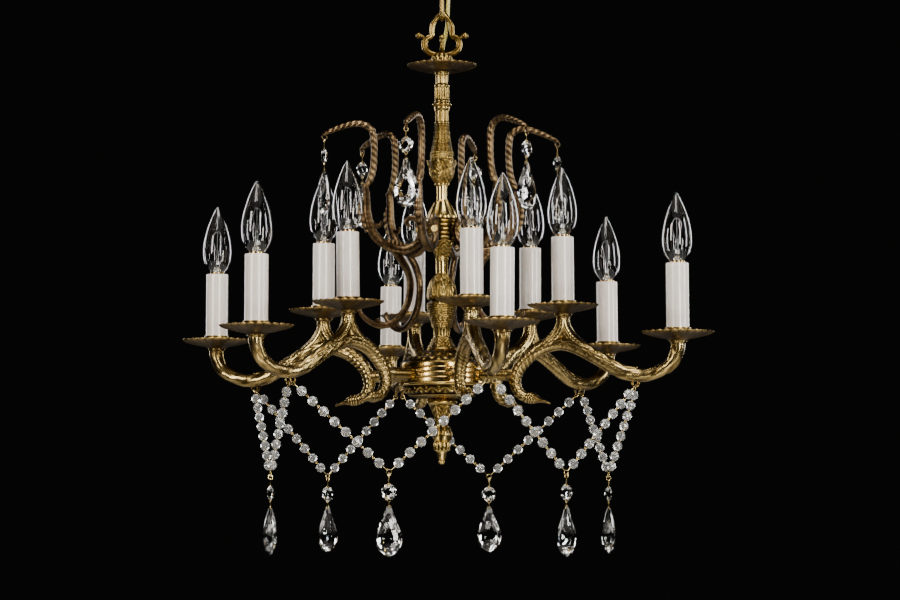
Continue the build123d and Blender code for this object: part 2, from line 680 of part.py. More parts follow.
def assemble(solids, name):
    """Write loose solids together as one node."""
    with BuildPart() as group:
        for solid in solids:
            add(solid, clean=False)
    save(group.part, name)


TIP_PIVOT = TIP_RING[1] - TIP_RING_R
for number, angle in enumerate(SCROLL_ANGLES):
    pivot = polar(TIP_RING[0], angle, TIP_PIVOT)
    outward = polar(1, angle, 0)
    assemble(crystal_drop(pivot, outward, outward), f"tip_drop_{number + 1}")

EYE_PIVOT = EYE_LEVEL - EYE_R
V_RING_R = 2.6
V_RING_WIRE_R = 0.5
for number, angle in enumerate(SCROLL_ANGLES):
    # the garland hangs between the near rings of the two arms beside this azimuth
    before = radians(angle - STEP_ANGLE / 2)
    after = radians(angle + STEP_ANGLE / 2)
    start = Vector(EYE_OUT * cos(before) - EYE_SPREAD * sin(before),
                   EYE_OUT * sin(before) + EYE_SPREAD * cos(before), EYE_PIVOT)
    finish = Vector(EYE_OUT * cos(after) + EYE_SPREAD * sin(after),
                    EYE_OUT * sin(after) - EYE_SPREAD * cos(after), EYE_PIVOT)
    middle = (start + finish) / 2 - Vector(0, 0, GARLAND_DROP)
    outward = Vector(*polar(1, angle, 0))
    chord = (finish - start).normalized()
    pieces = [ring(tuple(middle), tuple(outward), V_RING_R, V_RING_WIRE_R)]
    for top in (start, finish):
        down = (middle - top).normalized()
        side_length = (middle - top).length
        eye = top + down * EYE_SINK
        # an eye threads its ring when its plane holds the ring's wire at one point only
        tangent = Vector(-top.Y, top.X, 0).normalized()
        pieces.append(ring(tuple(eye), tuple(tangent.cross(down)), HOOK_R, WIRE_R))
        lead = (side_length - V_RING_R - V_RING_WIRE_R - BEAD_STEP * (BEADS_PER_SIDE - 1)) / 2
        last = eye + down * (HOOK_R + WIRE_R)
        for index in range(BEADS_PER_SIDE):
            bead = top + down * (lead + 1.2 + BEAD_STEP * index)
            pieces.append(wire_between(tuple(last), tuple(bead - down * BEAD_R)))
            with BuildPart() as ball:
                with Locations(tuple(bead)):
                    Sphere(BEAD_R)
            pieces.append(ball.part)
            last = bead + down * BEAD_R
        end = middle - down * (V_RING_R + V_RING_WIRE_R)
        pieces.append(wire_between(tuple(last), tuple(end)))
    assemble(pieces, f"garland_{number + 1}")
    pivot = tuple(middle - Vector(0, 0, V_RING_R))
    assemble(crystal_drop(pivot, tuple(outward), tuple(chord)), f"lower_drop_{number + 1}")

# ---- supply cord ------------------------------------------------------------------------

CORD_ROUTE = [(0, 0, -15), (0, 0.1, -25), (0.5, 1.6, -31.5), (2.9, 4.6, -36.5),
              (6.2, 7.4, -42), (7.4, 8.2, -51), (6.8, 7.2, -66), (6.2, 7.6, -86),
              (6.9, 6.8, -107), (6.4, 7.2, -126), (5.6, 6.4, -143), (2.6, 3.2, -156),
              (0.3, 0.3, -167), (0, 0, -178)]
cord_points = [Vector(*point) for point in CORD_ROUTE]
cord_radii = []
for back, here, ahead in zip(cord_points, cord_points[1:], cord_points[2:]):
    arriving = here - back
    leaving = ahead - here
    turn = radians(arriving.get_angle(leaving))
    cord_radii.append(0.45 * min(arriving.length, leaving.length) / tan(turn / 2))
with BuildPart() as power_cord:
    with BuildLine() as cord_line:
        FilletPolyline(*CORD_ROUTE, radius=cord_radii)
    with BuildSketch(Plane(origin=cord_line.line @ 0, z_dir=cord_line.line % 0)):
        Circle(CORD_R)
    sweep(path=cord_line.line)
save(power_cord.part, "power_cord")
print("cord radii", [round(radius, 1) for radius in cord_radii])
print("cord length", round(cord_line.wire().length, 1), "volume over section times length",
      round(power_cord.part.volume / (pi * CORD_R ** 2 * cord_line.wire().length), 4))
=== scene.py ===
"""Twelve-light brass chandelier: the detailed pieces, materials, lights and camera.

Lengths in the tables of outlines are millimetres and are turned into metres by MM.
"""

from math import ceil, cos, pi, radians, sin, sqrt

import bpy
import bmesh
import numpy as np
from mathutils import Matrix, Vector


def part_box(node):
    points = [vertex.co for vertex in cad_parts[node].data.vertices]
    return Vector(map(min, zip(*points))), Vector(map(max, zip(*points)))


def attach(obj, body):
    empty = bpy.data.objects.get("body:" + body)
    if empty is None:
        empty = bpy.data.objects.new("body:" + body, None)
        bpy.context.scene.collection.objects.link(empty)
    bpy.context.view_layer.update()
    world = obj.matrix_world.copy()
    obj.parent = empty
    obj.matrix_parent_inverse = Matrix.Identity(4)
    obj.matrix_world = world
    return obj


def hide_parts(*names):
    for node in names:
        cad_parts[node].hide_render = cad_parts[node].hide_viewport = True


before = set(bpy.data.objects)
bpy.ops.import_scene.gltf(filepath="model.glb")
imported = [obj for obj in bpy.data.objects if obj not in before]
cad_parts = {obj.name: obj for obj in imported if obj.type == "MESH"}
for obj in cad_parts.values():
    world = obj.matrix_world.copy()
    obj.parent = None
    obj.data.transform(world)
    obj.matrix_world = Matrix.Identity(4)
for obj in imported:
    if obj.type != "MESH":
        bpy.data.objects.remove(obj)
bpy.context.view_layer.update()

MM = 0.001
ARM_COUNT = 6
FIRST_ARM = -16.7
FIRST_SCROLL = 13.3
STEP_ANGLE = 360 / ARM_COUNT
ARM_ANGLES = [FIRST_ARM + STEP_ANGLE * i for i in range(ARM_COUNT)]
SCROLL_ANGLES = [FIRST_SCROLL + STEP_ANGLE * i for i in range(ARM_COUNT)]
FRONT_SCROLL = 4                # this bracket has no tail
TAU = 2 * pi

# chain links: wire radius, half the width, and half the straight stretch at each side
LINK_WIRE_R = 2.2
LINK_HALF_WIDTH = 11
LINK_STRAIGHT = 8

# crystals: radius and level of the rings that carry them, and the bead strings between
TIP_RING_R = 127
TIP_PIVOT_Z = -267.8
GARLAND_RING_R = 209
GARLAND_RING_SPREAD = 3.5
GARLAND_RING_Z = -528.4
GARLAND_DROP = 90
BEAD_R = 5.25
BEAD_STEP = 15.6
BEADS_PER_SIDE = 8
BEAD_LEAD = 1.2                 # from half the spare string to the first bead's middle
V_RING_R = 2.6
V_RING_WIRE_R = 0.5

# room and camera, in metres and degrees
FLOOR_R = 3.6
FLOOR_LEVEL = -2.1
CAMERA_DISTANCE = 3.0383
CAMERA_LEVEL = -0.6582
CAMERA_TILT = 94.2123
CAMERA_ROLL = -0.162
DIM_GREY = (0.0030, 0.0029, 0.0028, 1)
LENS = 115.3
SENSOR = 36


# ---- materials --------------------------------------------------------------------------

class Finish:
    """A small writer of node materials: one Principled shader and its pattern nodes."""

    def __init__(self, name, **sockets):
        self.material = bpy.data.materials.new(name)
        self.material.use_nodes = True
        self.tree = self.material.node_tree
        self.shader = self.tree.nodes["Principled BSDF"]
        for socket, value in sockets.items():
            self.shader.inputs[socket.replace("_", " ")].default_value = value
        self.place = self.tree.nodes.new("ShaderNodeTexCoord").outputs["Object"]

    def node(self, kind, **settings):
        made = self.tree.nodes.new(kind)
        for key, value in settings.items():
            setattr(made, key, value)
        return made

    def link(self, out, into):
        self.tree.links.new(out, into)
        return out

    def noise(self, scale, detail=4.0, roughness=0.55, stretch=(1, 1, 1)):
        """Cloudy pattern on object coordinates; scale is in cycles per metre."""
        mapping = self.node("ShaderNodeMapping")
        mapping.inputs["Scale"].default_value = stretch
        self.link(self.place, mapping.inputs["Vector"])
        made = self.node("ShaderNodeTexNoise")
        made.inputs["Scale"].default_value = scale
        made.inputs["Detail"].default_value = detail
        made.inputs["Roughness"].default_value = roughness
        self.link(mapping.outputs["Vector"], made.inputs["Vector"])
        return made.outputs["Fac"]

    def attribute(self, name):
        made = self.node("ShaderNodeAttribute", attribute_name=name)
        return made.outputs["Fac"]

    def ramp(self, factor, *stops):
        """Colours between stops given as (position, colour)."""
        made = self.node("ShaderNodeValToRGB")
        band = made.color_ramp
        while len(band.elements) < len(stops):
            band.elements.new(0.5)
        for element, (position, colour) in zip(band.elements, stops):
            element.position = position
            element.color = (*colour, 1) if len(colour) == 3 else colour
        self.link(factor, made.inputs["Fac"])
        return made.outputs["Color"]

    def span(self, factor, low, high, start=0.0, end=1.0):
        """A number that runs from low to high while the factor runs from start to end."""
        made = self.node("ShaderNodeMapRange")
        made.inputs["From Min"].default_value = start
        made.inputs["From Max"].default_value = end
        made.inputs["To Min"].default_value = low
        made.inputs["To Max"].default_value = high
        self.link(factor, made.inputs["Value"])
        return made.outputs["Result"]

    def sum(self, first, second, weight=1.0):
        made = self.node("ShaderNodeMath", operation="MULTIPLY_ADD")
        self.link(second, made.inputs[0])
        made.inputs[1].default_value = weight
        self.link(first, made.inputs[2])
        return made.outputs["Value"]

    def mix(self, factor, first, second, blend="MIX"):
        made = self.node("ShaderNodeMix", data_type="RGBA", blend_type=blend)
        made.inputs[0].default_value = factor
        self.link(first, made.inputs[6])
        self.link(second, made.inputs[7])
        return made.outputs[2]

    def bump(self, height, strength, distance):
        made = self.node("ShaderNodeBump")
        made.inputs["Strength"].default_value = strength
        made.inputs["Distance"].default_value = distance
        self.link(height, made.inputs["Height"])
        self.link(made.outputs["Normal"], self.shader.inputs["Normal"])

    def colour(self, source):
        self.link(source, self.shader.inputs["Base Color"])

    def roughness(self, source):
        self.link(source, self.shader.inputs["Roughness"])


def cast_brass(name, hollow, middle, raised, gloss=(0.5, 0.27)):
    """Antiqued casting: dark in the hollows of the relief, rubbed bright on what stands out."""
    finish = Finish(name, Metallic=1.0)
    clouds = finish.noise(55, 5)
    height = finish.sum(finish.attribute("relief"), finish.span(clouds, -0.28, 0.28, 0.3, 0.7))
    body = finish.ramp(height, (0.02, hollow), (0.42, middle), (0.95, raised))
    stain = finish.ramp(finish.noise(21, 3), (0.38, (0.62, 0.55, 0.48)), (0.62, (1, 1, 1)))
    finish.colour(finish.mix(0.55, body, stain, "MULTIPLY"))
    finish.roughness(finish.span(height, gloss[0], gloss[1]))
    finish.bump(finish.noise(420, 3), 0.25, 0.0006)
    return finish.material


def polished_brass(name, tint, dull, line_scale):
    """Lacquered brass turned on a lathe, with fine lines round it and faint tarnish."""
    finish = Finish(name, Metallic=1.0)
    tarnish = finish.noise(38, 4)
    finish.colour(finish.ramp(tarnish, (0.3, dull), (0.62, tint)))
    finish.roughness(finish.span(finish.noise(90, 3), 0.14, 0.26, 0.3, 0.7))
    finish.bump(finish.noise(line_scale, 2, stretch=(0.02, 0.02, 1)), 0.06, 0.0002)
    return finish.material


BRASS = cast_brass("antique_brass", (0.022, 0.013, 0.004), (0.165, 0.103, 0.025),
                   (0.58, 0.42, 0.14), (0.42, 0.22))
ARM_BRASS = cast_brass("arm_brass", (0.022, 0.013, 0.005), (0.125, 0.080, 0.024),
                       (0.50, 0.37, 0.145), (0.42, 0.22))
BRONZE = cast_brass("dark_bronze", (0.012, 0.007, 0.003), (0.055, 0.032, 0.015),
                    (0.235, 0.160, 0.082), (0.44, 0.28))
DISH_BRASS = cast_brass("dish_brass", (0.026, 0.016, 0.006), (0.105, 0.066, 0.022),
                        (0.42, 0.29, 0.11), (0.46, 0.28))
DULL_BRASS = polished_brass("dull_brass", (0.30, 0.205, 0.065), (0.16, 0.105, 0.035), 900)
GOLD = polished_brass("polished_brass", (0.83, 0.60, 0.22), (0.60, 0.40, 0.13), 2600)
WIRE = polished_brass("brass_wire", (0.80, 0.62, 0.28), (0.55, 0.40, 0.16), 900)


def zinc():
    finish = Finish("zinc_steel", Metallic=1.0)
    finish.colour(finish.ramp(finish.noise(160, 3), (0.35, (0.42, 0.42, 0.40)),
                              (0.65, (0.62, 0.61, 0.57))))
    finish.roughness(finish.span(finish.noise(240, 2), 0.32, 0.5, 0.3, 0.7))
    return finish.material


def ivory():
    """Glossy moulded candle sleeve with soft warm streaks down it."""
    finish = Finish("ivory_sleeve", Coat_Weight=0.8, Coat_Roughness=0.06,
                    Subsurface_Weight=0.12, Subsurface_Scale=0.004)
    streaks = finish.noise(40, 3, stretch=(1, 1, 0.12))
    finish.colour(finish.ramp(streaks, (0.3, (0.80, 0.68, 0.61)), (0.5, (0.86, 0.76, 0.70)),
                              (0.7, (0.90, 0.83, 0.79))))
    finish.roughness(finish.span(finish.noise(70, 3), 0.22, 0.36, 0.3, 0.7))
    finish.bump(finish.noise(160, 2, stretch=(1, 1, 0.2)), 0.08, 0.0004)
    return finish.material


def clear_glass(name, ior, haze, clearness):
    finish = Finish(name, Transmission_Weight=clearness, IOR=ior)
    finish.shader.inputs["Base Color"].default_value = (0.985, 0.99, 0.985, 1)
    finish.roughness(finish.span(finish.noise(60, 2), 0.0, haze, 0.45, 0.8))
    return finish.material


def phenolic():
    finish = Finish("black_phenolic")
    finish.colour(finish.ramp(finish.noise(200, 3), (0.3, (0.012, 0.011, 0.01)),
                              (0.7, (0.035, 0.032, 0.03))))
    finish.roughness(finish.span(finish.noise(120, 2), 0.35, 0.55, 0.3, 0.7))
    return finish.material


def gold_cord():
    """Clear gold insulation over twisted copper strands."""
    finish = Finish("clear_gold_cord", Transmission_Weight=0.35, IOR=1.47,
                    Coat_Weight=0.5, Coat_Roughness=0.1)
    twist = finish.noise(520, 2, stretch=(1, 1, 0.35))
    finish.colour(finish.ramp(twist, (0.3, (0.46, 0.36, 0.05)), (0.7, (0.80, 0.68, 0.16))))
    finish.roughness(finish.span(twist, 0.2, 0.34, 0.3, 0.7))
    return finish.material


def filament_metal():
    finish = Finish("filament_wire", Metallic=1.0)
    finish.colour(finish.ramp(finish.noise(900, 2), (0.3, (0.25, 0.24, 0.23)),
                              (0.7, (0.62, 0.60, 0.57))))
    finish.roughness(finish.span(finish.noise(300, 2), 0.25, 0.4, 0.3, 0.7))
    return finish.material


ZINC = zinc()
IVORY = ivory()
BULB_GLASS = clear_glass("bulb_glass", 1.46, 0.02, 1.0)
CRYSTAL = clear_glass("crystal", 1.58, 0.02, 1.0)
BEAD_GLASS = clear_glass("bead_crystal", 1.55, 0.05, 0.88)
PHENOLIC = phenolic()
CORD = gold_cord()
FILAMENT = filament_metal()


# ---- mesh helpers -----------------------------------------------------------------------

def new_object(name, mesh, material):
    """Put a mesh in the scene as a piece with one material."""
    mesh.materials.clear()
    mesh.materials.append(material)
    piece = bpy.data.objects.new(name, mesh)
    bpy.context.scene.collection.objects.link(piece)
    return piece


def finish_mesh(mesh, sharp=38.0):
    """Weld doubles, turn faces outward and shade smooth between sharp creases."""
    work = bmesh.new()
    work.from_mesh(mesh)
    bmesh.ops.remove_doubles(work, verts=work.verts, dist=2e-6)
    bmesh.ops.dissolve_degenerate(work, edges=work.edges, dist=1e-7)
    bmesh.ops.recalc_face_normals(work, faces=work.faces)
    work.to_mesh(mesh)
    work.free()
    mesh.polygons.foreach_set("use_smooth", np.ones(len(mesh.polygons), dtype=bool))
    mesh.set_sharp_from_angle(angle=radians(sharp))
    mesh.update()
    return mesh


def skin(name, rows, relief=None, ring=False, sharp=38.0):
    """A closed skin over rows of points in mm. Each row closes on itself.

    The first and last rows are capped, or joined to each other if ring is set.
    """
    rows = np.asarray(rows, dtype=float) * MM
    count, around = rows.shape[:2]
    verts = rows.reshape(-1, 3)
    values = np.full(len(verts), 0.6) if relief is None else np.asarray(relief).reshape(-1)
    first = np.arange(count if ring else count - 1)[:, None]
    side = np.arange(around)[None, :]
    after = (side + 1) % around
    above = (first + 1) % count
    faces = np.stack([first * around + side, first * around + after,
                      above * around + after, above * around + side], -1).reshape(-1, 4)
    faces = faces.tolist()
    if not ring:
        for row in (0, count - 1):
            centre = len(verts)
            verts = np.vstack([verts, rows[row].mean(axis=0)])
            values = np.append(values, values[row * around:(row + 1) * around].mean())
            loop = [row * around + k for k in range(around)]
            faces += [[loop[k], loop[(k + 1) % around], centre] for k in range(around)]
    mesh = bpy.data.meshes.new(name)
    mesh.from_pydata(verts.tolist(), [], faces)
    layer = mesh.attributes.new("relief", "FLOAT", "POINT")
    layer.data.foreach_set("value", values)
    return finish_mesh(mesh, sharp)


def contour(points, step=0.6):
    """Sample an outline finely. A point with a third value is round, the others are corners."""
    flat = [np.array(p[:2], dtype=float) for p in points]
    smooth = [len(p) > 2 for p in points]
    out = [flat[0]]
    for i in range(len(flat) - 1):
        a, b = flat[i], flat[i + 1]
        length = np.linalg.norm(b - a)
        before = flat[i - 1] if smooth[i] and i > 0 else a - (b - a)
        after = flat[i + 2] if smooth[i + 1] and i + 2 < len(flat) else b + (b - a)
        start = (b - before) / 2 if smooth[i] else b - a
        end = (after - a) / 2 if smooth[i + 1] else b - a
        for k in range(1, max(1, ceil(length / step)) + 1):
            t = k / max(1, ceil(length / step))
            out.append((2 * t ** 3 - 3 * t ** 2 + 1) * a + (t ** 3 - 2 * t ** 2 + t) * start
                       + (3 * t ** 2 - 2 * t ** 3) * b + (t ** 3 - t ** 2) * end)
    return np.array(out)


def lathe(name, outline, top=0.0, around=96, relief=None, depth=0.0, centre=(0, 0), step=0.6,
          closed=False, sharp=38.0):
    """Turn an outline of (radius, drop below top) in mm; relief(angle, drop) stands out by depth."""
    line = contour(outline, step)
    angle = np.linspace(0, TAU, around, endpoint=False)
    radius, drop = line[:, :1], line[:, 1:]
    raised = np.full((len(line), around), 0.62)
    if relief is not None:
        raised = relief(angle[None, :] + 0 * drop, drop + 0 * angle[None, :])
        radius = radius + depth * (raised - 0.5) * np.minimum(1, radius / 3)
    rows = np.stack([centre[0] + radius * np.cos(angle), centre[1] + radius * np.sin(angle),
                     top - drop + 0 * angle[None, :]], -1)
    return skin(name, rows, raised, closed, sharp)


def curve_through(points, step=1.0):
    """Evenly spaced points along a Catmull-Rom curve through points of any size."""
    pts = np.array(points, dtype=float)
    ends = np.vstack([2 * pts[0] - pts[1], pts, 2 * pts[-1] - pts[-2]])
    dense = []
    for i in range(1, len(ends) - 2):
        p0, p1, p2, p3 = ends[i - 1:i + 3]
        for t in np.linspace(0, 1, 24, endpoint=False):
            dense.append(0.5 * (2 * p1 + (p2 - p0) * t + (2 * p0 - 5 * p1 + 4 * p2 - p3) * t ** 2
                                + (3 * p1 - p0 - 3 * p2 + p3) * t ** 3))
    dense.append(ends[-2])
    dense = np.array(dense)
    length = np.concatenate([[0], np.cumsum(np.linalg.norm(np.diff(dense[:, :2], axis=0),
                                                           axis=1))])
    count = max(3, ceil(length[-1] / step))
    spots = np.linspace(0, length[-1], count + 1)
    return np.stack([np.interp(spots, length, dense[:, k]) for k in range(dense.shape[1])], -1)


def flat_sweep(name, points, around=28, relief=None, depth=0.0, step=1.0, shift=0.0, sharp=38.0,
               section=None):
    """Sweep an oval along a curve in the XZ plane.

    Each point is (x, z, half thickness in the plane, half width across it). relief(angle, place)
    gets the angle round the section, 90 degrees on the left of the direction of travel, and the
    share of the length, and stands out by depth.
    """
    line = curve_through(points, step)
    tangent = np.gradient(line[:, :2], axis=0)
    tangent /= np.linalg.norm(tangent, axis=1)[:, None]
    normal = np.stack([-tangent[:, 1], tangent[:, 0]], -1)
    angle = np.linspace(0, TAU, around, endpoint=False)[None, :]
    place = np.linspace(0, 1, len(line))[:, None]
    raised = np.full((len(line), around), 0.62)
    grow = np.zeros((len(line), around))
    if relief is not None:
        raised = relief(angle + 0 * place, place + 0 * angle)
        grow = depth * (raised - 0.5) * np.minimum(1, line[:, 2:3] / 2.5)
    shape = 1.0 if section is None else section(angle)
    thick = (line[:, 2:3] * shape + grow) * np.sin(angle)
    wide = (line[:, 3:4] * shape + grow) * np.cos(angle)
    rows = np.stack([line[:, :1] + normal[:, :1] * thick,
                     shift + wide + 0 * thick,
                     line[:, 1:2] + normal[:, 1:] * thick], -1)
    return skin(name, rows, raised, sharp=sharp)


def ball(name, centre, radius, around=20):
    """A round bead of metal in mm."""
    rise = np.linspace(0, pi, around // 2 + 1)[:, None]
    turn = np.linspace(0, TAU, around, endpoint=False)[None, :]
    rows = np.stack([centre[0] + radius * np.sin(rise) * np.cos(turn),
                     centre[1] + radius * np.sin(rise) * np.sin(turn),
                     centre[2] + radius * np.cos(rise) + 0 * turn], -1)
    return skin(name, rows)


def wire_loop(name, centre, along, radius, wire, around=20, section=8):
    """A closed ring of wire whose hole faces along the given direction, in mm."""
    axis = Vector(along).normalized()
    side = axis.orthogonal().normalized()
    other = axis.cross(side)
    rows = []
    for k in range(around):
        turn = TAU * k / around
        out = side * cos(turn) + other * sin(turn)
        middle = Vector(centre) + out * radius
        rows.append([tuple(middle + out * (wire * cos(TAU * j / section))
                           + axis * (wire * sin(TAU * j / section))) for j in range(section)])
    return skin(name, rows, ring=True)


def round_wire(name, points, radius, section=8, step=0.8):
    """A round wire along a smooth curve through points in space, in mm."""
    line = [Vector(p) for p in curve_through_space(points, step)]
    rows = []
    side = (line[1] - line[0]).orthogonal().normalized()
    for k, here in enumerate(line):
        ahead = line[min(k + 1, len(line) - 1)] - line[max(k - 1, 0)]
        ahead.normalize()
        side = (side - ahead * side.dot(ahead)).normalized()
        other = ahead.cross(side)
        rows.append([tuple(here + side * (radius * cos(TAU * j / section))
                           + other * (radius * sin(TAU * j / section)))
                     for j in range(section)])
    return skin(name, rows)


def curve_through_space(points, step):
    """Evenly spaced points on a Catmull-Rom curve through points in space."""
    pts = [Vector(p) for p in points]
    ends = [pts[0] * 2 - pts[1], *pts, pts[-1] * 2 - pts[-2]]
    out = []
    for i in range(1, len(ends) - 2):
        p0, p1, p2, p3 = ends[i - 1:i + 3]
        steps = max(2, ceil((p2 - p1).length / step))
        for k in range(steps):
            t = k / steps
            out.append(tuple(0.5 * (2 * p1 + (p2 - p0) * t
                                    + (2 * p0 - 5 * p1 + 4 * p2 - p3) * t ** 2
                                    + (3 * p1 - p0 - 3 * p2 + p3) * t ** 3)))
    out.append(tuple(ends[-2]))
    return out


def join(name, meshes, material, materials=None):
    """Join meshes into one piece. materials gives one material per mesh if they differ."""
    work = bmesh.new()
    kinds = materials or [material] * len(meshes)
    order = list(dict.fromkeys(kinds))
    for mesh, kind in zip(meshes, kinds):
        before = len(work.faces)
        work.from_mesh(mesh)
        work.faces.ensure_lookup_table()
        for face in work.faces[before:]:
            face.material_index = order.index(kind)
        bpy.data.meshes.remove(mesh)
    joined = bpy.data.meshes.new(name)
    work.to_mesh(joined)
    work.free()
    for kind in order:
        joined.materials.append(kind)
    joined.polygons.foreach_set("use_smooth", np.ones(len(joined.polygons), dtype=bool))
    piece = bpy.data.objects.new(name, joined)
    bpy.context.scene.collection.objects.link(piece)
    return piece


def turned_copy(piece, name, angle):
    """A copy of a piece turned about the vertical axis, with the turn in its mesh."""
    mesh = piece.data.copy()
    mesh.transform(Matrix.Rotation(radians(angle), 4, "Z"))
    copy = bpy.data.objects.new(name, mesh)
    bpy.context.scene.collection.objects.link(copy)
    return copy


def drop_object(piece):
    """Delete a working object and its mesh."""
    mesh = piece.data
    bpy.data.objects.remove(piece)
    bpy.data.meshes.remove(mesh)


def top_of(node):
    """Height of a CAD node's top, in mm."""
    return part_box(node)[1][2] / MM


def foot_of(node):
    """Height of a CAD node's foot, in mm."""
    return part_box(node)[0][2] / MM


def place(piece, body, slot, *nodes):
    """Let a finished piece ride on a body in place of CAD nodes. The slot argument is not used."""
    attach(piece, body)
    if nodes:
        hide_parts(*nodes)


# ---- relief patterns: each gives 0 in a hollow to 1 on what stands out ---------------------

def bell(value, width):
    """A soft ridge about zero."""
    return np.exp(-(value / width) ** 2)


def within(drop, start, end, edge=0.5):
    """1 between two drops, with a soft edge, and 0 outside."""
    return np.clip((drop - start) / edge + 0.5, 0, 1) * np.clip((end - drop) / edge + 0.5, 0, 1)


def reeds(angle, count, turn=0.0):
    """Round reeds side by side."""
    return np.abs(np.cos((angle - radians(turn)) * count / 2)) ** 0.8


def leaf_height(across, along, veins=5, lobes=0.16):
    """An acanthus leaf: across runs from -0.5 to 0.5, along from 0 at its foot to 1 at its tip."""
    along = np.clip(along, 0, 1)
    wide = 0.49 * np.sqrt(1 - along ** 2.6)
    wide = wide * (1 - lobes + lobes * np.cos(TAU * veins * along))
    inside = np.clip((wide - np.abs(across)) / 0.08, 0, 1)
    midrib = bell(across, 0.045)
    fan = 0.5 + 0.5 * np.cos(TAU * (veins * along - 2.6 * np.abs(across)))
    return inside * (0.38 + 0.34 * fan * (1 - midrib) + 0.5 * midrib)


def leaves(angle, share, count, turn=0.0, veins=5):
    """A ring of leaves with a smaller second row peeping out between them."""
    turns = (angle - radians(turn)) * count / TAU
    front = leaf_height((turns + 0.5) % 1 - 0.5, share, veins)
    back = 0.62 * leaf_height(turns % 1 - 0.5, np.clip(share * 0.82, 0, 1), veins)
    return np.clip(np.maximum(front, back), 0, 1)


def foliage(angle, share, count, turn=0.0):
    """Scrolling foliage in a band: a wavy stem with round leaves in its bends."""
    turns = (angle - radians(turn)) * count / TAU
    phase = turns % 1
    wave = 0.5 + 0.2 * np.sin(TAU * turns)
    stem = bell(share - wave, 0.09)
    leaf = bell((phase - 0.27) * 3.2, 0.34) * bell(share - 0.30, 0.2)
    other = bell((phase - 0.77) * 3.2, 0.34) * bell(share - 0.70, 0.2)
    cut = 0.72 + 0.28 * np.cos(TAU * 5 * turns + 9 * share)
    return np.clip(stem + (leaf + other) * cut, 0, 1)


# ---- ceiling fitting and chain ------------------------------------------------------------

def ceiling_pieces():
    """The canopy and the screw-collar loop above the chain."""
    collar_top = foot_of("ceiling_canopy")
    canopy = lathe("canopy_shell", [(59.9, 0), (59.9, 2.2), (58.6, 3.6, 1), (55, 5.6, 1),
                                    (48, 9.0, 1), (38, 12, 1), (28, 16.4, 1), (20, 20.6, 1),
                                    (14, 23.4, 1), (9, 23.9), (5.3, 23.9), (5.3, 22.9),
                                    (13.5, 22.4, 1), (20, 19.4, 1), (28, 15.2, 1),
                                    (38, 10.8, 1), (48, 7.8, 1), (55, 4.2, 1), (58.6, 2), (58.6, 0)],
                   top=0, around=128, closed=True, step=1.2,
                   relief=lambda a, d: 0.5 + 0.5 * within(d, 11, 23.2) * leaves(a, (23.5 - d) / 12, 12),
                   depth=0.7)
    canopy = new_object("canopy_shell", canopy, BRASS)
    place(canopy, "ceiling", "polished_brass", "ceiling_canopy")
    ring_middle = foot_of("canopy_loop") + 11.7
    knurl = lathe("collar", [(5.1, 0), (7.2, 0), (7.5, 0.5), (7.5, 5.5), (7.2, 6), (3.5, 6),
                             (3.5, 4.6), (5.1, 4.6)], top=collar_top, around=96, closed=True,
                  relief=lambda a, d: reeds(a, 40), depth=0.3)
    ring_mesh = wire_loop("ring", (0, 0, ring_middle), (0, 1, 0), 9.3, 2.4, 48, 16)
    loop = join("collar_loop", [knurl, ring_mesh], GOLD)
    place(loop, "ceiling", "polished_brass", "canopy_loop")


def chain_pieces():
    """Three oval links of round wire; the butt of each wire shows as a faint joint."""
    for number in range(3):
        low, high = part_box(f"chain_link_{number + 1}")
        middle = (low[2] + high[2]) / 2 / MM
        wire = LINK_WIRE_R
        bend = LINK_HALF_WIDTH - wire
        rows = []
        turns = 96
        for k in range(turns):
            turn = TAU * k / turns
            side = bend * cos(turn)
            up = bend * sin(turn) + (LINK_STRAIGHT if sin(turn) > 1e-9
                                     else -LINK_STRAIGHT if sin(turn) < -1e-9 else 0)
            out = np.array([cos(turn), sin(turn)])
            pinch = 1 - 0.06 * bell((k - turns * 0.02) / 0.8, 1)
            row = []
            for j in range(16):
                angle = TAU * j / 16
                reach = out * wire * pinch * cos(angle)
                flat = (side + reach[0], wire * pinch * sin(angle), up + reach[1] + middle)
                row.append(flat if number % 2 else (-flat[1], flat[0], flat[2]))
            rows.append(row)
        link = new_object(f"oval_link_{number + 1}", skin("link", rows, ring=True), BRASS)
        place(link, f"link_{number + 1}", "antique_brass", f"chain_link_{number + 1}")


CORD_ROUTE = [(0, 0, -15), (0, 0.1, -25), (0.5, 1.6, -31.5), (2.9, 4.6, -36.5), (6.2, 7.4, -42),
              (7.4, 8.2, -51), (6.8, 7.2, -66), (6.2, 7.6, -86), (6.9, 6.8, -107),
              (6.4, 7.2, -126), (5.6, 6.4, -143), (2.6, 3.2, -156), (0.3, 0.3, -167),
              (0, 0, -178)]


def supply_cord():
    """Lamp cord from the canopy down beside the chain into the foot of the top loop."""
    curve = bpy.data.curves.new("lamp_cord", "CURVE")
    curve.dimensions = "3D"
    spline = curve.splines.new("NURBS")
    spline.points.add(len(CORD_ROUTE) - 1)
    for point, spot in zip(spline.points, CORD_ROUTE):
        point.co = (*(v * MM for v in spot), 1)
    spline.order_u = 3
    spline.use_endpoint_u = True
    spline.resolution_u = 12
    curve.bevel_depth = 2 * MM
    curve.bevel_resolution = 5
    curve.use_fill_caps = True
    curve.materials.append(CORD)
    lead = bpy.data.objects.new("lamp_cord", curve)
    bpy.context.scene.collection.objects.link(lead)
    place(lead, "ceiling", "clear_gold_cord", "power_cord")


# ---- main stem ----------------------------------------------------------------------------

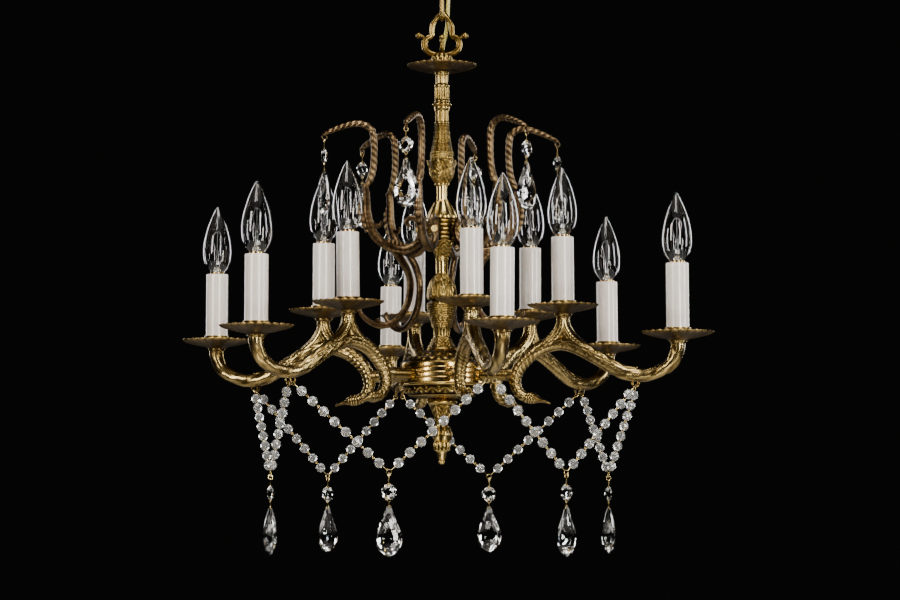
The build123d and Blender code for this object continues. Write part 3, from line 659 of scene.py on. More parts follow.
def top_loop_piece():
    """Pointed arch on a lyre-shaped bowl, with ball ends at the sides, front and back."""
    foot = foot_of("top_loop")
    arch_top = top_of("top_loop") - 3.4
    half = [(10.4, foot + 24.0, 2.4, 3.2), (10.6, foot + 28, 2.4, 3.2),
            (10.0, foot + 34.5, 2.3, 3.1), (6.6, foot + 41.5, 2.3, 3.0)]
    arch = flat_sweep("arch", [(-x, z, a, b) for x, z, a, b in half]
                      + [(0, arch_top - 0.1, 3.2, 3.4)] + half[::-1], around=24,
                      relief=lambda a, p: 0.35 + 0.65 * np.abs(np.sin(a)), depth=1.0)
    meshes = [arch]
    for side in (-1, 1):
        bowl = [(side * 9.8, foot + 26, 1.6, 2.6), (side * 12.6, foot + 22.8, 2.4, 3.0),
                (side * 16.6, foot + 20.4, 2.6, 3.4), (side * 18.6, foot + 15.6, 2.7, 3.6),
                (side * 17.2, foot + 9.6, 2.8, 3.8), (side * 12.4, foot + 5.0, 2.9, 4.0),
                (side * 5.0, foot + 2.8, 2.8, 4.2)]
        meshes.append(flat_sweep("bowl", bowl, around=24,
                                 relief=lambda a, p: 0.25 + 0.75 * np.abs(np.sin(a)) ** 2,
                                 depth=1.2))
        meshes.append(flat_sweep("stalk", [(side * 16, foot + 19, 1.8, 2.0),
                                           (side * 20, foot + 22.5, 1.6, 1.6),
                                           (side * 24, foot + 23.9, 1.9, 1.9)], around=16))
        meshes.append(ball("side_ball", (side * 24.6, 0, foot + 24), 3.5, 24))
    crossed = []
    for side in (-1, 1):
        hook = flat_sweep("hook", [(side * 5, foot + 3.5, 2.2, 2.6), (side * 9.5, foot + 7, 2.0, 2.4),
                                   (side * 10.6, foot + 12, 1.7, 2.1),
                                   (side * 8.4, foot + 16.4, 1.5, 1.9),
                                   (side * 10.2, foot + 20, 1.5, 1.6)], around=16)
        knob = ball("knob", (side * 11.2, 0, foot + 20.6), 2.7, 20)
        crossed += [hook, knob]
    for mesh in crossed:
        mesh.transform(Matrix.Rotation(pi / 2, 4, "Z"))
    base = lathe("foot", [(4.2, 0), (8.4, 0), (10.6, 1.4, 1), (11.3, 3.0), (10.4, 3.4), (10.4, 4.6),
                          (4.2, 4.6)], top=foot + 4.6, around=72, closed=True,
                 relief=lambda a, d: reeds(a, 12), depth=0.8)
    piece = join("lyre_loop", [*meshes, *crossed, base], BRASS)
    place(piece, "chandelier", "antique_brass", "top_loop")


def dish_mesh(name, top, centre, foot_radius, depth, inner, folds=26, outer=37.4):
    """A scalloped drip dish: thin, shallow and fluted towards its wavy rim."""
    line = contour([(outer, 0.7), (outer - 0.5, 1.7, 1), (outer - 3.5, 3.3, 1), (28, 5.2, 1),
                    (19, 7.6, 1), (foot_radius + 2.2, depth - 1.6, 1), (foot_radius, depth),
                    (inner, depth), (inner, depth - 1.3), (foot_radius - 0.4, depth - 1.6, 1),
                    (18, 6.0, 1), (28, 3.9, 1), (outer - 3.5, 1.9, 1), (outer - 1.1, 0.5, 1),
                    (outer - 0.4, 0.3)], 1.5)
    around = folds * 6
    angle = np.linspace(0, TAU, around, endpoint=False)[None, :]
    radius, drop = line[:, :1], line[:, 1:]
    rim = np.clip((radius - 20) / (outer - 20), 0, 1)
    fold = np.abs(np.cos(angle * folds / 2)) ** 0.7
    rows = np.stack([centre[0] + (radius - 1.3 * rim ** 4 * (1 - fold)) * np.cos(angle),
                     centre[1] + (radius - 1.3 * rim ** 4 * (1 - fold)) * np.sin(angle),
                     top - drop - 0.9 * rim ** 2 * (1 - fold)], -1)
    raised = 0.30 + 0.25 * fold * rim + 0.45 * np.clip((rim - 0.88) / 0.12, 0, 1) * fold
    return skin(name, rows, raised, ring=True)


def stem_pieces():
    """The turned and cast pieces threaded on the rod, from the top dish down to the finial."""
    rim = foot_of("top_dish") + 8.2
    boss = lathe("boss", [(4.2, 0), (10.6, 0), (11.3, 0.9, 1), (10.9, 5, 1), (11.3, 10, 1),
                          (12.2, 12.6), (4.2, 12.6)], top=top_of("top_dish"), closed=True,
                 around=72, relief=lambda a, d: reeds(a, 16), depth=0.5)
    dish = join("top_drip_dish", [dish_mesh("dish", rim, (0, 0), 10, 8.1, 4.2), boss], None,
                [DISH_BRASS, BRASS])
    place(dish, "chandelier", "antique_brass", "top_dish")

    def stem(node, name, material, slot, outline, relief=None, depth=0.0, around=120, step=0.55):
        mesh = lathe(name, outline, top=top_of(node), around=around, relief=relief, depth=depth,
                     step=step)
        place(new_object(name, mesh, material), "chandelier", slot, node)

    stem("upper_sleeve", "panelled_sleeve", BRASS, "polished_brass",
         [(0, 0), (6.9, 0), (7.4, 0.5, 1), (7.0, 1.4), (7.4, 2.2, 1), (7.0, 3.2), (6.4, 3.8),
          (6.3, 12.8), (6.6, 13.6), (7.5, 14.2), (7.9, 15.0, 1), (7.5, 16.0), (7.2, 16.6),
          (7.5, 17.4), (7.5, 29.4), (7.2, 30.2), (7.7, 31.0), (8.0, 31.9, 1), (7.6, 33.0),
          (8.2, 33.6), (9.9, 34.4, 1), (10.1, 35.6, 1), (9.2, 36.8), (7.8, 37.4), (8.1, 38.8, 1),
          (7.6, 40.6), (7.2, 41.8), (0, 41.8)],
         lambda a, d: np.clip(0.85 - 0.55 * within(d, 4.2, 12.6) * (1 - reeds(a, 8, 10))
                              - 0.75 * within(d, 17.6, 29.2) * (1 - reeds(a, 18)), 0, 1), 1.1)
    stem("reeded_vase", "beaded_flare", BRASS, "antique_brass",
         [(0, 0), (6.6, 0), (6.6, 11.6), (7.3, 12.2), (7.6, 13.2, 1), (8.0, 20, 1), (8.8, 28, 1),
          (10.0, 35, 1), (11.2, 41.5, 1), (11.8, 44.2), (12.2, 45.2, 1), (11.7, 46.6),
          (12.3, 47.8, 1), (11.8, 49.2), (12.3, 50.6, 1), (11.6, 52.4), (0, 52.6)],
         lambda a, d: np.clip(0.8 - 0.6 * within(d, 0.6, 11.4) * (1 - reeds(a, 8, 10))
                              - within(d, 13.5, 44) * (0.8 - 0.8 * reeds(a, 12, 10)
                                                       * (0.62 + 0.38 * np.cos(TAU * d / 1.95)))
                              - 0.4 * within(d, 44.4, 52.4) * (1 - reeds(a, 36)), 0, 1), 1.5)
    stem("leaf_cup", "acanthus_cup", BRASS, "antique_brass",
         [(0, 0), (13.8, 0), (15.3, 0.6, 1), (15.2, 3, 1), (13.4, 9, 1), (12.4, 15, 1),
          (10.4, 20, 1), (7.6, 24), (6.6, 24.8), (7.0, 25.4, 1), (7.1, 26.6, 1), (6.4, 27.6),
          (0, 27.6)],
         lambda a, d: np.where(d < 24.2, leaves(a, 1 - d / 25, 6, 13.3, 4), 0.9), 2.4)
    stem("neck_tube", "smooth_tube", GOLD, "polished_brass",
         [(0, 0), (5.6, 0), (5.5, 0.8), (5.45, 14.8), (5.7, 15.3), (6.3, 15.7, 1), (6.4, 16.4, 1),
          (6.0, 17.1), (0, 17.1)])
    stem("ribbed_barrel", "ribbed_barrel_casting", BRASS, "antique_brass",
         [(0, 0), (6.8, 0), (7.6, 1), (9.6, 4.5, 1), (12.4, 9.5, 1), (14.6, 14.5, 1), (15.2, 17.6),
          (14.4, 18.4), (14.6, 20, 1), (14.9, 30, 1), (14.3, 40.2), (13.2, 41.3), (0, 41.3)],
         lambda a, d: np.clip(within(d, -2, 17.8) * (0.35 + 0.6 * reeds(a, 6, FIRST_ARM))
                              + within(d, 17.8, 43)
                              * np.clip(2.6 * reeds(a, 6, FIRST_ARM) - 0.9, 0.1, 1)
                              * (0.70 + 0.30 * np.cos(TAU * (d - 20.4) / 4.4)), 0, 1), 3.6)
    stem("lower_stem", "leafy_taper", BRASS, "antique_brass",
         [(0, 0), (11.6, 0), (12.0, 1.6, 1), (10.8, 6, 1), (8.6, 12, 1), (7.0, 15.4), (5.9, 16.6),
          (6.5, 17.4, 1), (5.9, 18.6), (6.4, 19.6, 1), (5.8, 20.9), (5.6, 22), (5.5, 33.6),
          (5.9, 35), (0, 35)],
         lambda a, d: np.where(d < 15.6, leaves(a, d / 16.5, 6, FIRST_ARM, 4), 0.92), 2.2)
    stem("leaf_bulb", "gadrooned_bulb", BRASS, "antique_brass",
         [(0, 0), (5.8, 0), (6.2, 0.8), (8.8, 3.6, 1), (12.4, 9.2, 1), (14.8, 16, 1),
          (15.6, 23, 1), (15.2, 27.0), (14.2, 27.8), (13.0, 28.8), (13.2, 29.8), (0, 29.8)],
         lambda a, d: np.where(d < 27.4, leaves(a, d / 31, 8, 5, 3) * 0.7
                               + 0.3 * reeds(a, 48), 0.2), 1.9, 144)
    stem("leaf_knop", "rippled_knop", BRASS, "antique_brass",
         [(0, 0), (14.2, 0), (15.8, 1.6, 1), (16.1, 5, 1), (15.0, 10, 1), (13.2, 16, 1),
          (11.2, 22, 1), (10.2, 27.5), (0, 27.5)],
         lambda a, d: np.clip(0.25 + 0.6 * leaves(a, 1 - d / 30, 6, 20, 4)
                              + 0.16 * np.cos(TAU * d / 2.4 + 1.2 * np.cos(6 * a)), 0, 1), 1.5, 144)
    stem("hub_dome", "foliate_dome", BRASS, "antique_brass",
         [(0, 0), (9.0, 0), (8.4, 4, 1), (8.1, 8.6), (8.6, 9.4), (10.2, 12, 1), (12.6, 17, 1),
          (15.0, 21.4), (15.8, 22.4, 1), (15.2, 23.6), (18, 24.2, 1), (21.5, 25.4, 1),
          (26.5, 28.4, 1), (30, 30.4), (33, 31.0, 1), (38.4, 32.6, 1), (42.6, 35.6, 1),
          (43.3, 37.7), (0, 37.7)],
         lambda a, d: np.clip(0.85 - 0.5 * within(d, 0.8, 8.6) * (1 - reeds(a, 12))
                              - within(d, 9.6, 21.2) * (0.85 - leaves(a, (d - 9) / 13, 6, 10, 4))
                              - within(d, 24.2, 36.8)
                              * (0.85 - foliage(a, (d - 24) / 13, 16)), 0, 1), 1.6, 168, 0.5)
    stem("hub_drum", "polished_drum", GOLD, "polished_brass",
         [(0, 0), (42.8, 0), (43.5, 0.7, 1), (43.5, 4.4, 1), (42.6, 5.2), (43.5, 6.0, 1),
          (43.5, 9.8, 1), (42.6, 10.6), (43.5, 11.4, 1), (43.5, 15.2, 1), (42.6, 16.0),
          (43.5, 16.8, 1), (43.5, 20.8, 1), (42.8, 21.7), (0, 21.7)], around=160, step=0.45)
    stem("hub_pan", "foliate_pan", BRASS, "antique_brass",
         [(0, 0), (42.6, 0), (43.2, 0.8, 1), (42.6, 1.8), (41.6, 2.4), (40.6, 5.6, 1),
          (38.2, 9.6, 1), (35.4, 12.0), (34.6, 12.8, 1), (33.0, 13.2), (25, 14.6, 1), (16, 15.5),
          (0, 15.5)],
         lambda a, d: np.clip(0.85 - within(d, 2.2, 12.0)
                              * (0.85 - foliage(a, (d - 2) / 10, 18)), 0, 1), 1.8, 180, 0.5)
    stem("bottom_cone", "leafy_cone", BRASS, "antique_brass",
         [(0, 0), (12, 0), (13, 1.4), (15.2, 2.2, 1), (15.8, 3.6, 1), (15.0, 5.4), (12.6, 6.8),
          (11.8, 9, 1), (9.6, 14.5, 1), (7.2, 21, 1), (5.6, 26), (5.2, 28.6), (0, 28.6)],
         lambda a, d: np.where(d > 6.6, leaves(a, (d - 6.6) / 23, 6, 0, 4), 0.88), 1.9)
    stem("finial", "lobed_finial", BRASS, "antique_brass",
         [(0, 0), (6.2, 0), (6.6, 0.8), (8.0, 2.8, 1), (10.0, 8.6, 1), (8.6, 14.4, 1), (6.8, 16.4),
          (7.7, 17.2), (7.9, 21, 1), (7.2, 25.6), (5.2, 26.6), (4.6, 27.4, 1), (3.4, 32, 1),
          (2.4, 35.6), (1.8, 36), (2.5, 37.8, 1), (1.7, 39.8, 1), (0, 40.3)],
         lambda a, d: np.clip(0.9 - within(d, 1.0, 16.2) * (0.9 - 0.95 * reeds(a, 5, 8))
                              - 0.7 * within(d, 17.4, 25.4) * (1 - reeds(a, 10)), 0, 1), 3.0)
    for node in ("center_rod", "rod_nuts", "arm_nuts", "ceiling_strap", "canopy_nipple"):
        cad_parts[node].data.materials.clear()
        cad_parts[node].data.materials.append(ZINC)


# ---- arms ---------------------------------------------------------------------------------

ARM_LINE = [(254, -482, 7.6, 7.6), (253.6, -492, 6.9, 6.9), (247, -505, 6.4, 6.4),
            (232, -513.8, 6.3, 6.3), (213.5, -517, 6.4, 6.4), (193, -512.5, 6.6, 6.6),
            (166, -496.8, 7.0, 7.0), (147, -486.4, 7.3, 7.0), (130, -481.8, 7.4, 7.0),
            (113, -485.0, 7.3, 7.0), (97, -494.2, 6.9, 6.8), (84.5, -508, 6.4, 6.4),
            (80.2, -522, 5.8, 5.8), (83.6, -532.6, 5.3, 5.4), (91, -538.6, 5.0, 5.2)]
HEAD_LINE = [(86, -535.4, 4.6, 4.8), (92, -538.4, 5.4, 5.2), (97.5, -539.2, 6.0, 5.4),
             (102.5, -540.2, 4.9, 4.9), (106, -541.4, 3.0, 3.9), (110, -542.4, 1.9, 3.1),
             (114.5, -543.6, 1.4, 2.5), (118.2, -545.4, 0.8, 1.4)]
STEM_LEFT = [(132, -451.8, 6.9, 6.9), (132, -457, 6.6, 6.6), (130.6, -466, 6.9, 6.9),
             (124, -476, 7.2, 7.0), (113, -484.6, 6.6, 6.6), (100, -492.2, 5.4, 5.6)]
STEM_RIGHT = [(132.4, -456, 5.6, 6.2), (134, -466, 6.2, 6.4), (140, -476.4, 6.6, 6.6),
              (152, -486.6, 6.2, 6.4), (166, -495.4, 5.2, 5.8)]


def bark(angle, place, ribs=5, twist=0.0, grain=46):
    """Grooved bark that runs along a branch, broken into short strokes."""
    groove = np.abs(np.cos(ribs * (angle + twist * place) / 2)) ** 0.55
    strokes = 0.5 + 0.5 * np.sin(TAU * grain * place + 5.0 * np.sin(2 * angle))
    return np.clip(0.12 + 0.70 * groove + 0.20 * strokes * groove, 0, 1)


def vine(angle, place):
    """Shallow leafy strands that wind along the outer bend of an arm."""
    wind = np.abs(np.sin(1.5 * angle + 26 * place)) ** 0.7
    other = np.abs(np.sin(2 * angle - 17 * place)) ** 0.8
    fine = 0.5 + 0.5 * np.sin(5 * angle + 150 * place)
    return np.clip(0.12 + 0.5 * wind + 0.3 * other + 0.12 * fine, 0, 1)


def arm_surface(angle, place):
    """Vine relief outside, ribbed bark inside and feathers down the swan's neck."""
    outside = np.clip((0.40 - place) / 0.06, 0, 1)
    feathers = np.clip((place - 0.72) / 0.06, 0, 1)
    scale = 0.5 + 0.5 * np.cos(TAU * 44 * place + 4 * angle)
    neck = np.clip(0.2 + 0.45 * np.abs(np.cos(3 * angle)) ** 0.5 + 0.4 * scale, 0, 1)
    return (outside * vine(angle, place) + (1 - outside) * (1 - feathers)
            * bark(angle, place, 6, 0.8) + feathers * neck)


def arm_leaf(name, start, end, middle_angle, spread, lift, lobes=4, flip=1):
    """A leaf shell that wraps the arm between two shares of its length and ends in a point."""
    line = curve_through(ARM_LINE, 0.9)
    tangent = np.gradient(line[:, :2], axis=0)
    tangent /= np.linalg.norm(tangent, axis=1)[:, None]
    normal = np.stack([-tangent[:, 1], tangent[:, 0]], -1)
    total = len(line) - 1
    first, last = round(start * total), round(end * total)
    step = 1 if last > first else -1
    picks = np.arange(first, last + step, step)
    along = np.linspace(0, 1, len(picks))[:, None]
    across = np.linspace(-1, 1, 25)[None, :]
    wide = spread * np.sqrt(np.clip(1 - along ** 2.4, 0.0004, 1))
    wide = wide * (0.86 + 0.14 * np.cos(TAU * lobes * along))
    midrib = bell(across, 0.12)
    fan = 0.5 + 0.5 * np.cos(TAU * (lobes * along - 0.9 * np.abs(across)))
    height = 0.35 + 0.4 * fan * (1 - midrib) + 0.5 * midrib
    rise = lift * (0.5 + along ** 2) + 1.0 * (height - 0.5)
    rise = rise * np.sqrt(np.clip(1 - across ** 4, 0, 1)) + 0.2
    angle = middle_angle + across * wide
    base = line[picks, 2:3]
    rows = []
    values = []
    for reach, shade in ((base + rise, height), (base - 0.8 + 0 * across, 0 * height)):
        sine, cosine = np.sin(angle), np.cos(angle)
        rows.append(np.stack([line[picks, :1] + normal[picks, :1] * reach * sine,
                              flip * reach * cosine,
                              line[picks, 1:2] + normal[picks, 1:] * reach * sine], -1))
        values.append(shade)
    loop = np.concatenate([rows[0], rows[1][:, ::-1]], axis=1)
    shade = np.concatenate([values[0], values[1][:, ::-1]], axis=1)
    return skin(name, loop, np.clip(shade, 0, 1))


def arm_pieces():
    """Six cast arms: branch, forked candle stem, leaves, swan's head and garland rings."""
    outer_seat = -481.9
    inner_seat = -451.7
    meshes = [
        flat_sweep("branch", ARM_LINE, around=40, relief=arm_surface, depth=1.5, step=0.9),
        flat_sweep("fork_left", STEM_LEFT, around=36, relief=lambda a, p: bark(a, p, 6, 0.5, 14),
                   depth=1.4, step=0.9),
        flat_sweep("fork_right", STEM_RIGHT, around=36,
                   relief=lambda a, p: bark(a, p, 5, -0.5, 14), depth=1.3, step=0.9),
        flat_sweep("head", HEAD_LINE, around=32, step=0.6, depth=0.5,
                   relief=lambda a, p: np.clip(0.6 + 0.4 * np.cos(TAU * 12 * p + 2 * a)
                                               * (p < 0.5), 0, 1)),
        arm_leaf("long_leaf", 0.60, 0.263, -pi / 2, 1.25, 0.9, 5),
        arm_leaf("side_leaf", 0.62, 0.36, -pi / 2 + 1.45, 0.9, 0.5, 4),
        arm_leaf("far_leaf", 0.62, 0.36, -pi / 2 - 1.45, 0.9, 0.5, 4),
        arm_leaf("neck_leaf", 0.66, 0.90, -pi / 2, 1.1, 0.5, 6),
    ]
    for x, seat in ((254, outer_seat), (132, inner_seat)):
        meshes.append(lathe("seat", [(0, 0), (9.3, 0), (9.4, 1.2, 1), (8.6, 2.4, 1), (7.0, 3.4),
                                     (7.2, 4.6, 1), (6.6, 5.6), (0, 5.6)], top=seat, around=48,
                            centre=(x, 0), relief=lambda a, d: 0.5 + 0.3 * np.cos(8 * a),
                            depth=0.4))
        meshes.append(lathe("stud", [(0, 0), (4.8, 0), (4.8, 9.6), (0, 9.6)], top=seat + 9.5,
                            around=24, centre=(x, 0), step=4))
    for side in (-1, 1):
        meshes.append(ball("eye", (98.4, side * 4.9, -537.6), 1.1, 12))
        meshes.append(wire_loop("garland_ring", (209, side * 3.5, -525.2), (0, 1, 0), 3.2, 0.8,
                                24, 8))
    meshes.append(flat_sweep("boss", [(71.1, -514.2, 6.4, 6.4), (73, -514.2, 6.5, 6.5),
                                      (77, -514.2, 6.0, 6.0), (82, -514.2, 5.0, 5.0)],
                             around=28))
    pattern = join("arm_pattern", meshes, ARM_BRASS)
    for number, angle in enumerate(ARM_ANGLES):
        arm = turned_copy(pattern, f"swan_arm_{number + 1}", angle)
        place(arm, "chandelier", "antique_brass", f"arm_{number + 1}")
    drop_object(pattern)


# ---- scroll brackets ----------------------------------------------------------------------

SCROLL_NECK = [(128.2, -262.6, 1.3, 2.2), (122, -259.2, 2.3, 3.4), (111, -254.5, 2.8, 3.6),
               (101, -251.2, 3.0, 3.5), (93, -249.5, 3.2, 3.4), (85.5, -249.9, 3.3, 3.3),
               (79.5, -252.6, 3.4, 3.3), (75.4, -257.5, 3.4, 3.3), (73.8, -265, 3.3, 3.3),
               (73.2, -280, 3.1, 3.2), (74.8, -298, 3.2, 3.2), (79, -311, 3.2, 3.5),
               (85.5, -317.2, 2.0, 3.0)]
SCROLL_BACK = [(84, -313.5, 2.2, 2.8), (82.2, -320, 3.0, 3.6), (81.4, -331, 3.4, 4.0),
               (80.6, -346, 3.9, 4.3), (73.5, -366, 4.4, 4.6), (59, -378.5, 4.3, 4.6),
               (41, -382.3, 4.0, 4.4), (27.5, -374.6, 3.6, 4.2), (22.9, -361, 3.3, 4.0),
               (26.4, -350.6, 2.9, 3.6), (34, -348.2, 2.4, 3.2), (38.4, -352.4, 2.0, 2.8),
               (36.6, -356.0, 2.0, 2.4)]
SCROLL_TAIL = [(56, -380, 2.4, 2.8), (49.5, -385.6, 3.4, 3.8), (41.4, -396.4, 3.6, 4.0),
               (35.6, -409, 3.5, 4.0), (34.3, -423, 3.4, 3.9), (37.8, -440, 3.3, 3.8),
               (47, -454.3, 3.2, 3.7), (58, -461.6, 3.0, 3.5), (67, -460.4, 2.5, 3.0),
               (70.2, -455.4, 1.8, 2.4)]
SCROLL_CURL = [(56, -461.5, 2.2, 2.8), (66, -463.4, 2.4, 3.2), (76, -459.8, 2.6, 3.3),
               (84.6, -453.4, 2.3, 2.9), (88.8, -446.6, 1.8, 2.2), (86.2, -443.4, 1.2, 1.5)]


def strap_relief(grain):
    """Raised edges either side of a groove, cut across by short strokes."""
    def relief(angle, place):
        edge = np.abs(np.sin(angle)) ** 1.3
        cut = 0.5 + 0.5 * np.cos(TAU * grain * place + 1.5 * np.cos(angle))
        return np.clip(0.12 + 0.72 * edge + 0.16 * cut, 0, 1)
    return relief


def rope_relief(turns):
    """Two strands twisted round a bar, smooth along its back."""
    def relief(angle, place):
        strand = np.abs(np.cos(angle + TAU * turns * place)) ** 0.6
        back = bell(((angle + pi / 2) % TAU) - pi, 0.5)
        return np.clip((0.1 + 0.85 * strand) * (1 - back) + 0.8 * back, 0, 1)
    return relief


def scroll_pieces():
    """Six scroll brackets: necks with hanging rings, C-scrolls, leaves and S-shaped tails."""
    meshes = [
        flat_sweep("neck", SCROLL_NECK, around=28, relief=rope_relief(9), depth=1.0, step=0.7),
        flat_sweep("back", SCROLL_BACK, around=28, relief=strap_relief(30), depth=1.1, step=0.8),
        ball("eye_ball", (36.2, 0, -356.2), 2.3, 20),
        flat_sweep("spur", [(78.8, -352, 2.2, 2.8), (73.4, -356.5, 2.4, 2.8),
                            (67.6, -357, 1.9, 2.3), (65.2, -352.6, 1.5, 1.8)], around=16,
                   relief=strap_relief(5), depth=0.6, step=0.8),
        flat_sweep("frill", [(62, -374, 2.0, 3.0), (54, -374.2, 2.5, 3.4),
                             (46.5, -376, 2.2, 3.0), (40, -376.4, 1.2, 2.0)], around=16,
                   relief=lambda a, p: 0.3 + 0.7 * np.abs(np.cos(TAU * 2.5 * p)), depth=1.8,
                   step=0.6),
        flat_sweep("outer_frill", [(86, -330, 1.0, 2.0), (87.6, -340, 2.2, 3.0),
                                   (85.6, -352, 2.3, 3.2), (81, -364, 1.4, 2.4)], around=16,
                   relief=lambda a, p: 0.3 + 0.7 * np.abs(np.cos(TAU * 2.5 * p)), depth=1.6,
                   step=0.6),
        flat_sweep("foot", [(15.8, -361, 4.2, 4.2), (18.2, -361, 4.1, 4.1),
                            (19.6, -361, 3.4, 3.4), (22.4, -361, 3.8, 3.8)], around=24),
        wire_loop("tip_ring", (127, 0, -265.2), (0, 1, 0), 2.6, 0.8, 24, 8),
    ]
    tail = [flat_sweep("tail", SCROLL_TAIL, around=24, relief=strap_relief(20), depth=1.0,
                       step=0.8),
            flat_sweep("curl", SCROLL_CURL, around=20, relief=strap_relief(12), depth=0.8,
                       step=0.7)]
    copies = []
    for number, angle in enumerate(SCROLL_ANGLES):
        for mesh in meshes if number == FRONT_SCROLL else meshes + tail:
            copy = mesh.copy()
            copy.transform(Matrix.Rotation(radians(angle), 4, "Z"))
            copies.append(copy)
    for mesh in meshes + tail:
        bpy.data.meshes.remove(mesh)
    place(join("scroll_brackets", copies, BRONZE), "chandelier", "dark_bronze", "scrolls")


# ---- pieces that repeat: Geometry Nodes trees ---------------------------------------------

class Tree:
    """A Geometry Nodes tree with named inputs, ending in Realize Instances and Set Material."""

    def __init__(self, name, **inputs):
        self.tree = bpy.data.node_groups.new(name, "GeometryNodeTree")
        face = self.tree.interface
        face.new_socket("Geometry", in_out="OUTPUT", socket_type="NodeSocketGeometry")
        face.new_socket("Geometry", in_out="INPUT", socket_type="NodeSocketGeometry")
        for key, kind in inputs.items():
            face.new_socket(key.replace("_", " "), in_out="INPUT",
                            socket_type=f"NodeSocket{kind}")
        self.source = self.tree.nodes.new("NodeGroupInput").outputs
        self.end = self.tree.nodes.new("NodeGroupOutput").inputs

    def node(self, kind, links=None, **settings):
        """Add a node; links gives sockets or constants for its inputs by name or number."""
        made = self.tree.nodes.new(kind)
        for key, value in settings.items():
            setattr(made, key, value)
        for key, value in (links or {}).items():
            if isinstance(value, bpy.types.NodeSocket):
                self.tree.links.new(value, made.inputs[key])
            else:
                made.inputs[key].default_value = value
        return made.outputs

    def maths(self, operation, first, second=0.0, third=0.0):
        return self.node("ShaderNodeMath", {0: first, 1: second, 2: third},
                         operation=operation)["Value"]

    def vector(self, operation, first, second=(0, 0, 0)):
        return self.node("ShaderNodeVectorMath", {0: first, 1: second},
                         operation=operation)["Vector"]

    def scaled(self, vector, factor):
        return self.node("ShaderNodeVectorMath", {0: vector, "Scale": factor},
                         operation="SCALE")["Vector"]

    def close(self, parts, material):
        gathered = self.tree.nodes.new("GeometryNodeJoinGeometry")
        for part in parts:
            self.tree.links.new(part, gathered.inputs[0])
        solid = self.node("GeometryNodeRealizeInstances", {0: gathered.outputs[0]})
        painted = self.node("GeometryNodeSetMaterial", {"Geometry": solid[0],
                                                        "Material": material})
        self.tree.links.new(painted[0], self.end[0])
        return self.tree


def grow(pattern, tree, **inputs):
    """Run a working object through a tree and give back the plain mesh that comes out."""
    modifier = pattern.modifiers.new(tree.name, "NODES")
    modifier.node_group = tree
    sockets = {item.name: item.identifier for item in tree.interface.items_tree
               if item.in_out == "INPUT"}
    for key, value in inputs.items():
        modifier[sockets[key.replace("_", " ")]] = value
    graph = bpy.context.evaluated_depsgraph_get()
    mesh = bpy.data.meshes.new_from_object(pattern.evaluated_get(graph),
                                           preserve_all_data_layers=True, depsgraph=graph)
    pattern.modifiers.clear()
    return mesh


def candle_ring_tree():
    """Repeats a candle piece round the outer and the inner ring, each a little out of true."""
    grove = Tree("candle_ring", Count="Int", Outer_radius="Float", Outer_height="Float",
                 Inner_radius="Float", Inner_height="Float", First_angle="Float",
                 Lean="Float", Seed="Int", Finish="Material")
    source = grove.source
    rings = []
    index = grove.node("GeometryNodeInputIndex")["Index"]
    step = grove.maths("DIVIDE", TAU, source["Count"])
    turn = grove.maths("MULTIPLY_ADD", index, step, source["First angle"])
    for number, part in enumerate(("Outer", "Inner")):
        circle = grove.node("GeometryNodeMeshCircle", {"Vertices": source["Count"],
                                                       "Radius": source[f"{part} radius"]})
        lift = grove.node("ShaderNodeCombineXYZ", {"Z": source[f"{part} height"]})
        face = grove.node("ShaderNodeCombineXYZ", {"Z": source["First angle"]})
        seats = grove.node("GeometryNodeTransform", {"Geometry": circle[0],
                                                     "Translation": lift[0],
                                                     "Rotation": face[0]})
        seed = grove.maths("ADD", source["Seed"], float(number * 7))
        lean = grove.node("FunctionNodeRandomValue", {"Seed": seed, "ID": index},
                          data_type="FLOAT_VECTOR")
        spread = grove.vector("SUBTRACT", lean["Value"], (0.5, 0.5, 0.5))
        tilt = grove.node("ShaderNodeVectorMath", {0: spread, "Scale": source["Lean"]},
                          operation="SCALE")["Vector"]
        tilt = grove.vector("MULTIPLY", tilt, (1, 1, 0))
        heading = grove.node("ShaderNodeCombineXYZ", {"Z": turn})
        rotation = grove.vector("ADD", tilt, heading[0])
        rings.append(grove.node("GeometryNodeInstanceOnPoints",
                                {"Points": seats[0], "Instance": source["Geometry"],
                                 "Rotation": rotation})[0])
    return grove.close(rings, source["Finish"])


def bead_string_tree():
    """Threads beads, each turned at random, at even steps down two lines that meet below."""
    string = Tree("bead_string", Near_end="Vector", Far_end="Vector", Meeting="Vector",
                  Lead="Float", Step="Float", Beads="Int", Spin="Float", Seed="Int",
                  Finish="Material")
    source = string.source
    rows = []
    for number, part in enumerate(("Near end", "Far end")):
        down = string.vector("NORMALIZE", string.vector("SUBTRACT", source["Meeting"],
                                                        source[part]))
        start = string.vector("ADD", source[part], string.scaled(down, source["Lead"]))
        line = string.node("GeometryNodeMeshLine", {"Count": source["Beads"],
                                                    "Start Location": start,
                                                    "Offset": string.scaled(down,
                                                                            source["Step"])},
                           mode="OFFSET")
        along = string.node("FunctionNodeAlignRotationToVector", {"Vector": down}, axis="Z")
        seed = string.maths("ADD", source["Seed"], float(number * 11))
        spin = string.node("FunctionNodeRandomValue", {"Seed": seed}, data_type="FLOAT")
        twist = string.maths("MULTIPLY", spin[1], source["Spin"])
        turned = string.node("FunctionNodeRotateRotation", {
            "Rotation": along[0],
            "Rotate By": string.node("FunctionNodeAxisAngleToRotation",
                                     {"Axis": (0, 0, 1), "Angle": twist})[0]},
            rotation_space="LOCAL")
        rows.append(string.node("GeometryNodeInstanceOnPoints",
                                {"Points": line[0], "Instance": source["Geometry"],
                                 "Rotation": turned[0]})[0])
    return string.close(rows, source["Finish"])


# ---- candles ------------------------------------------------------------------------------

OUTER = (254.0, -471.4)
INNER = (132.0, -441.2)


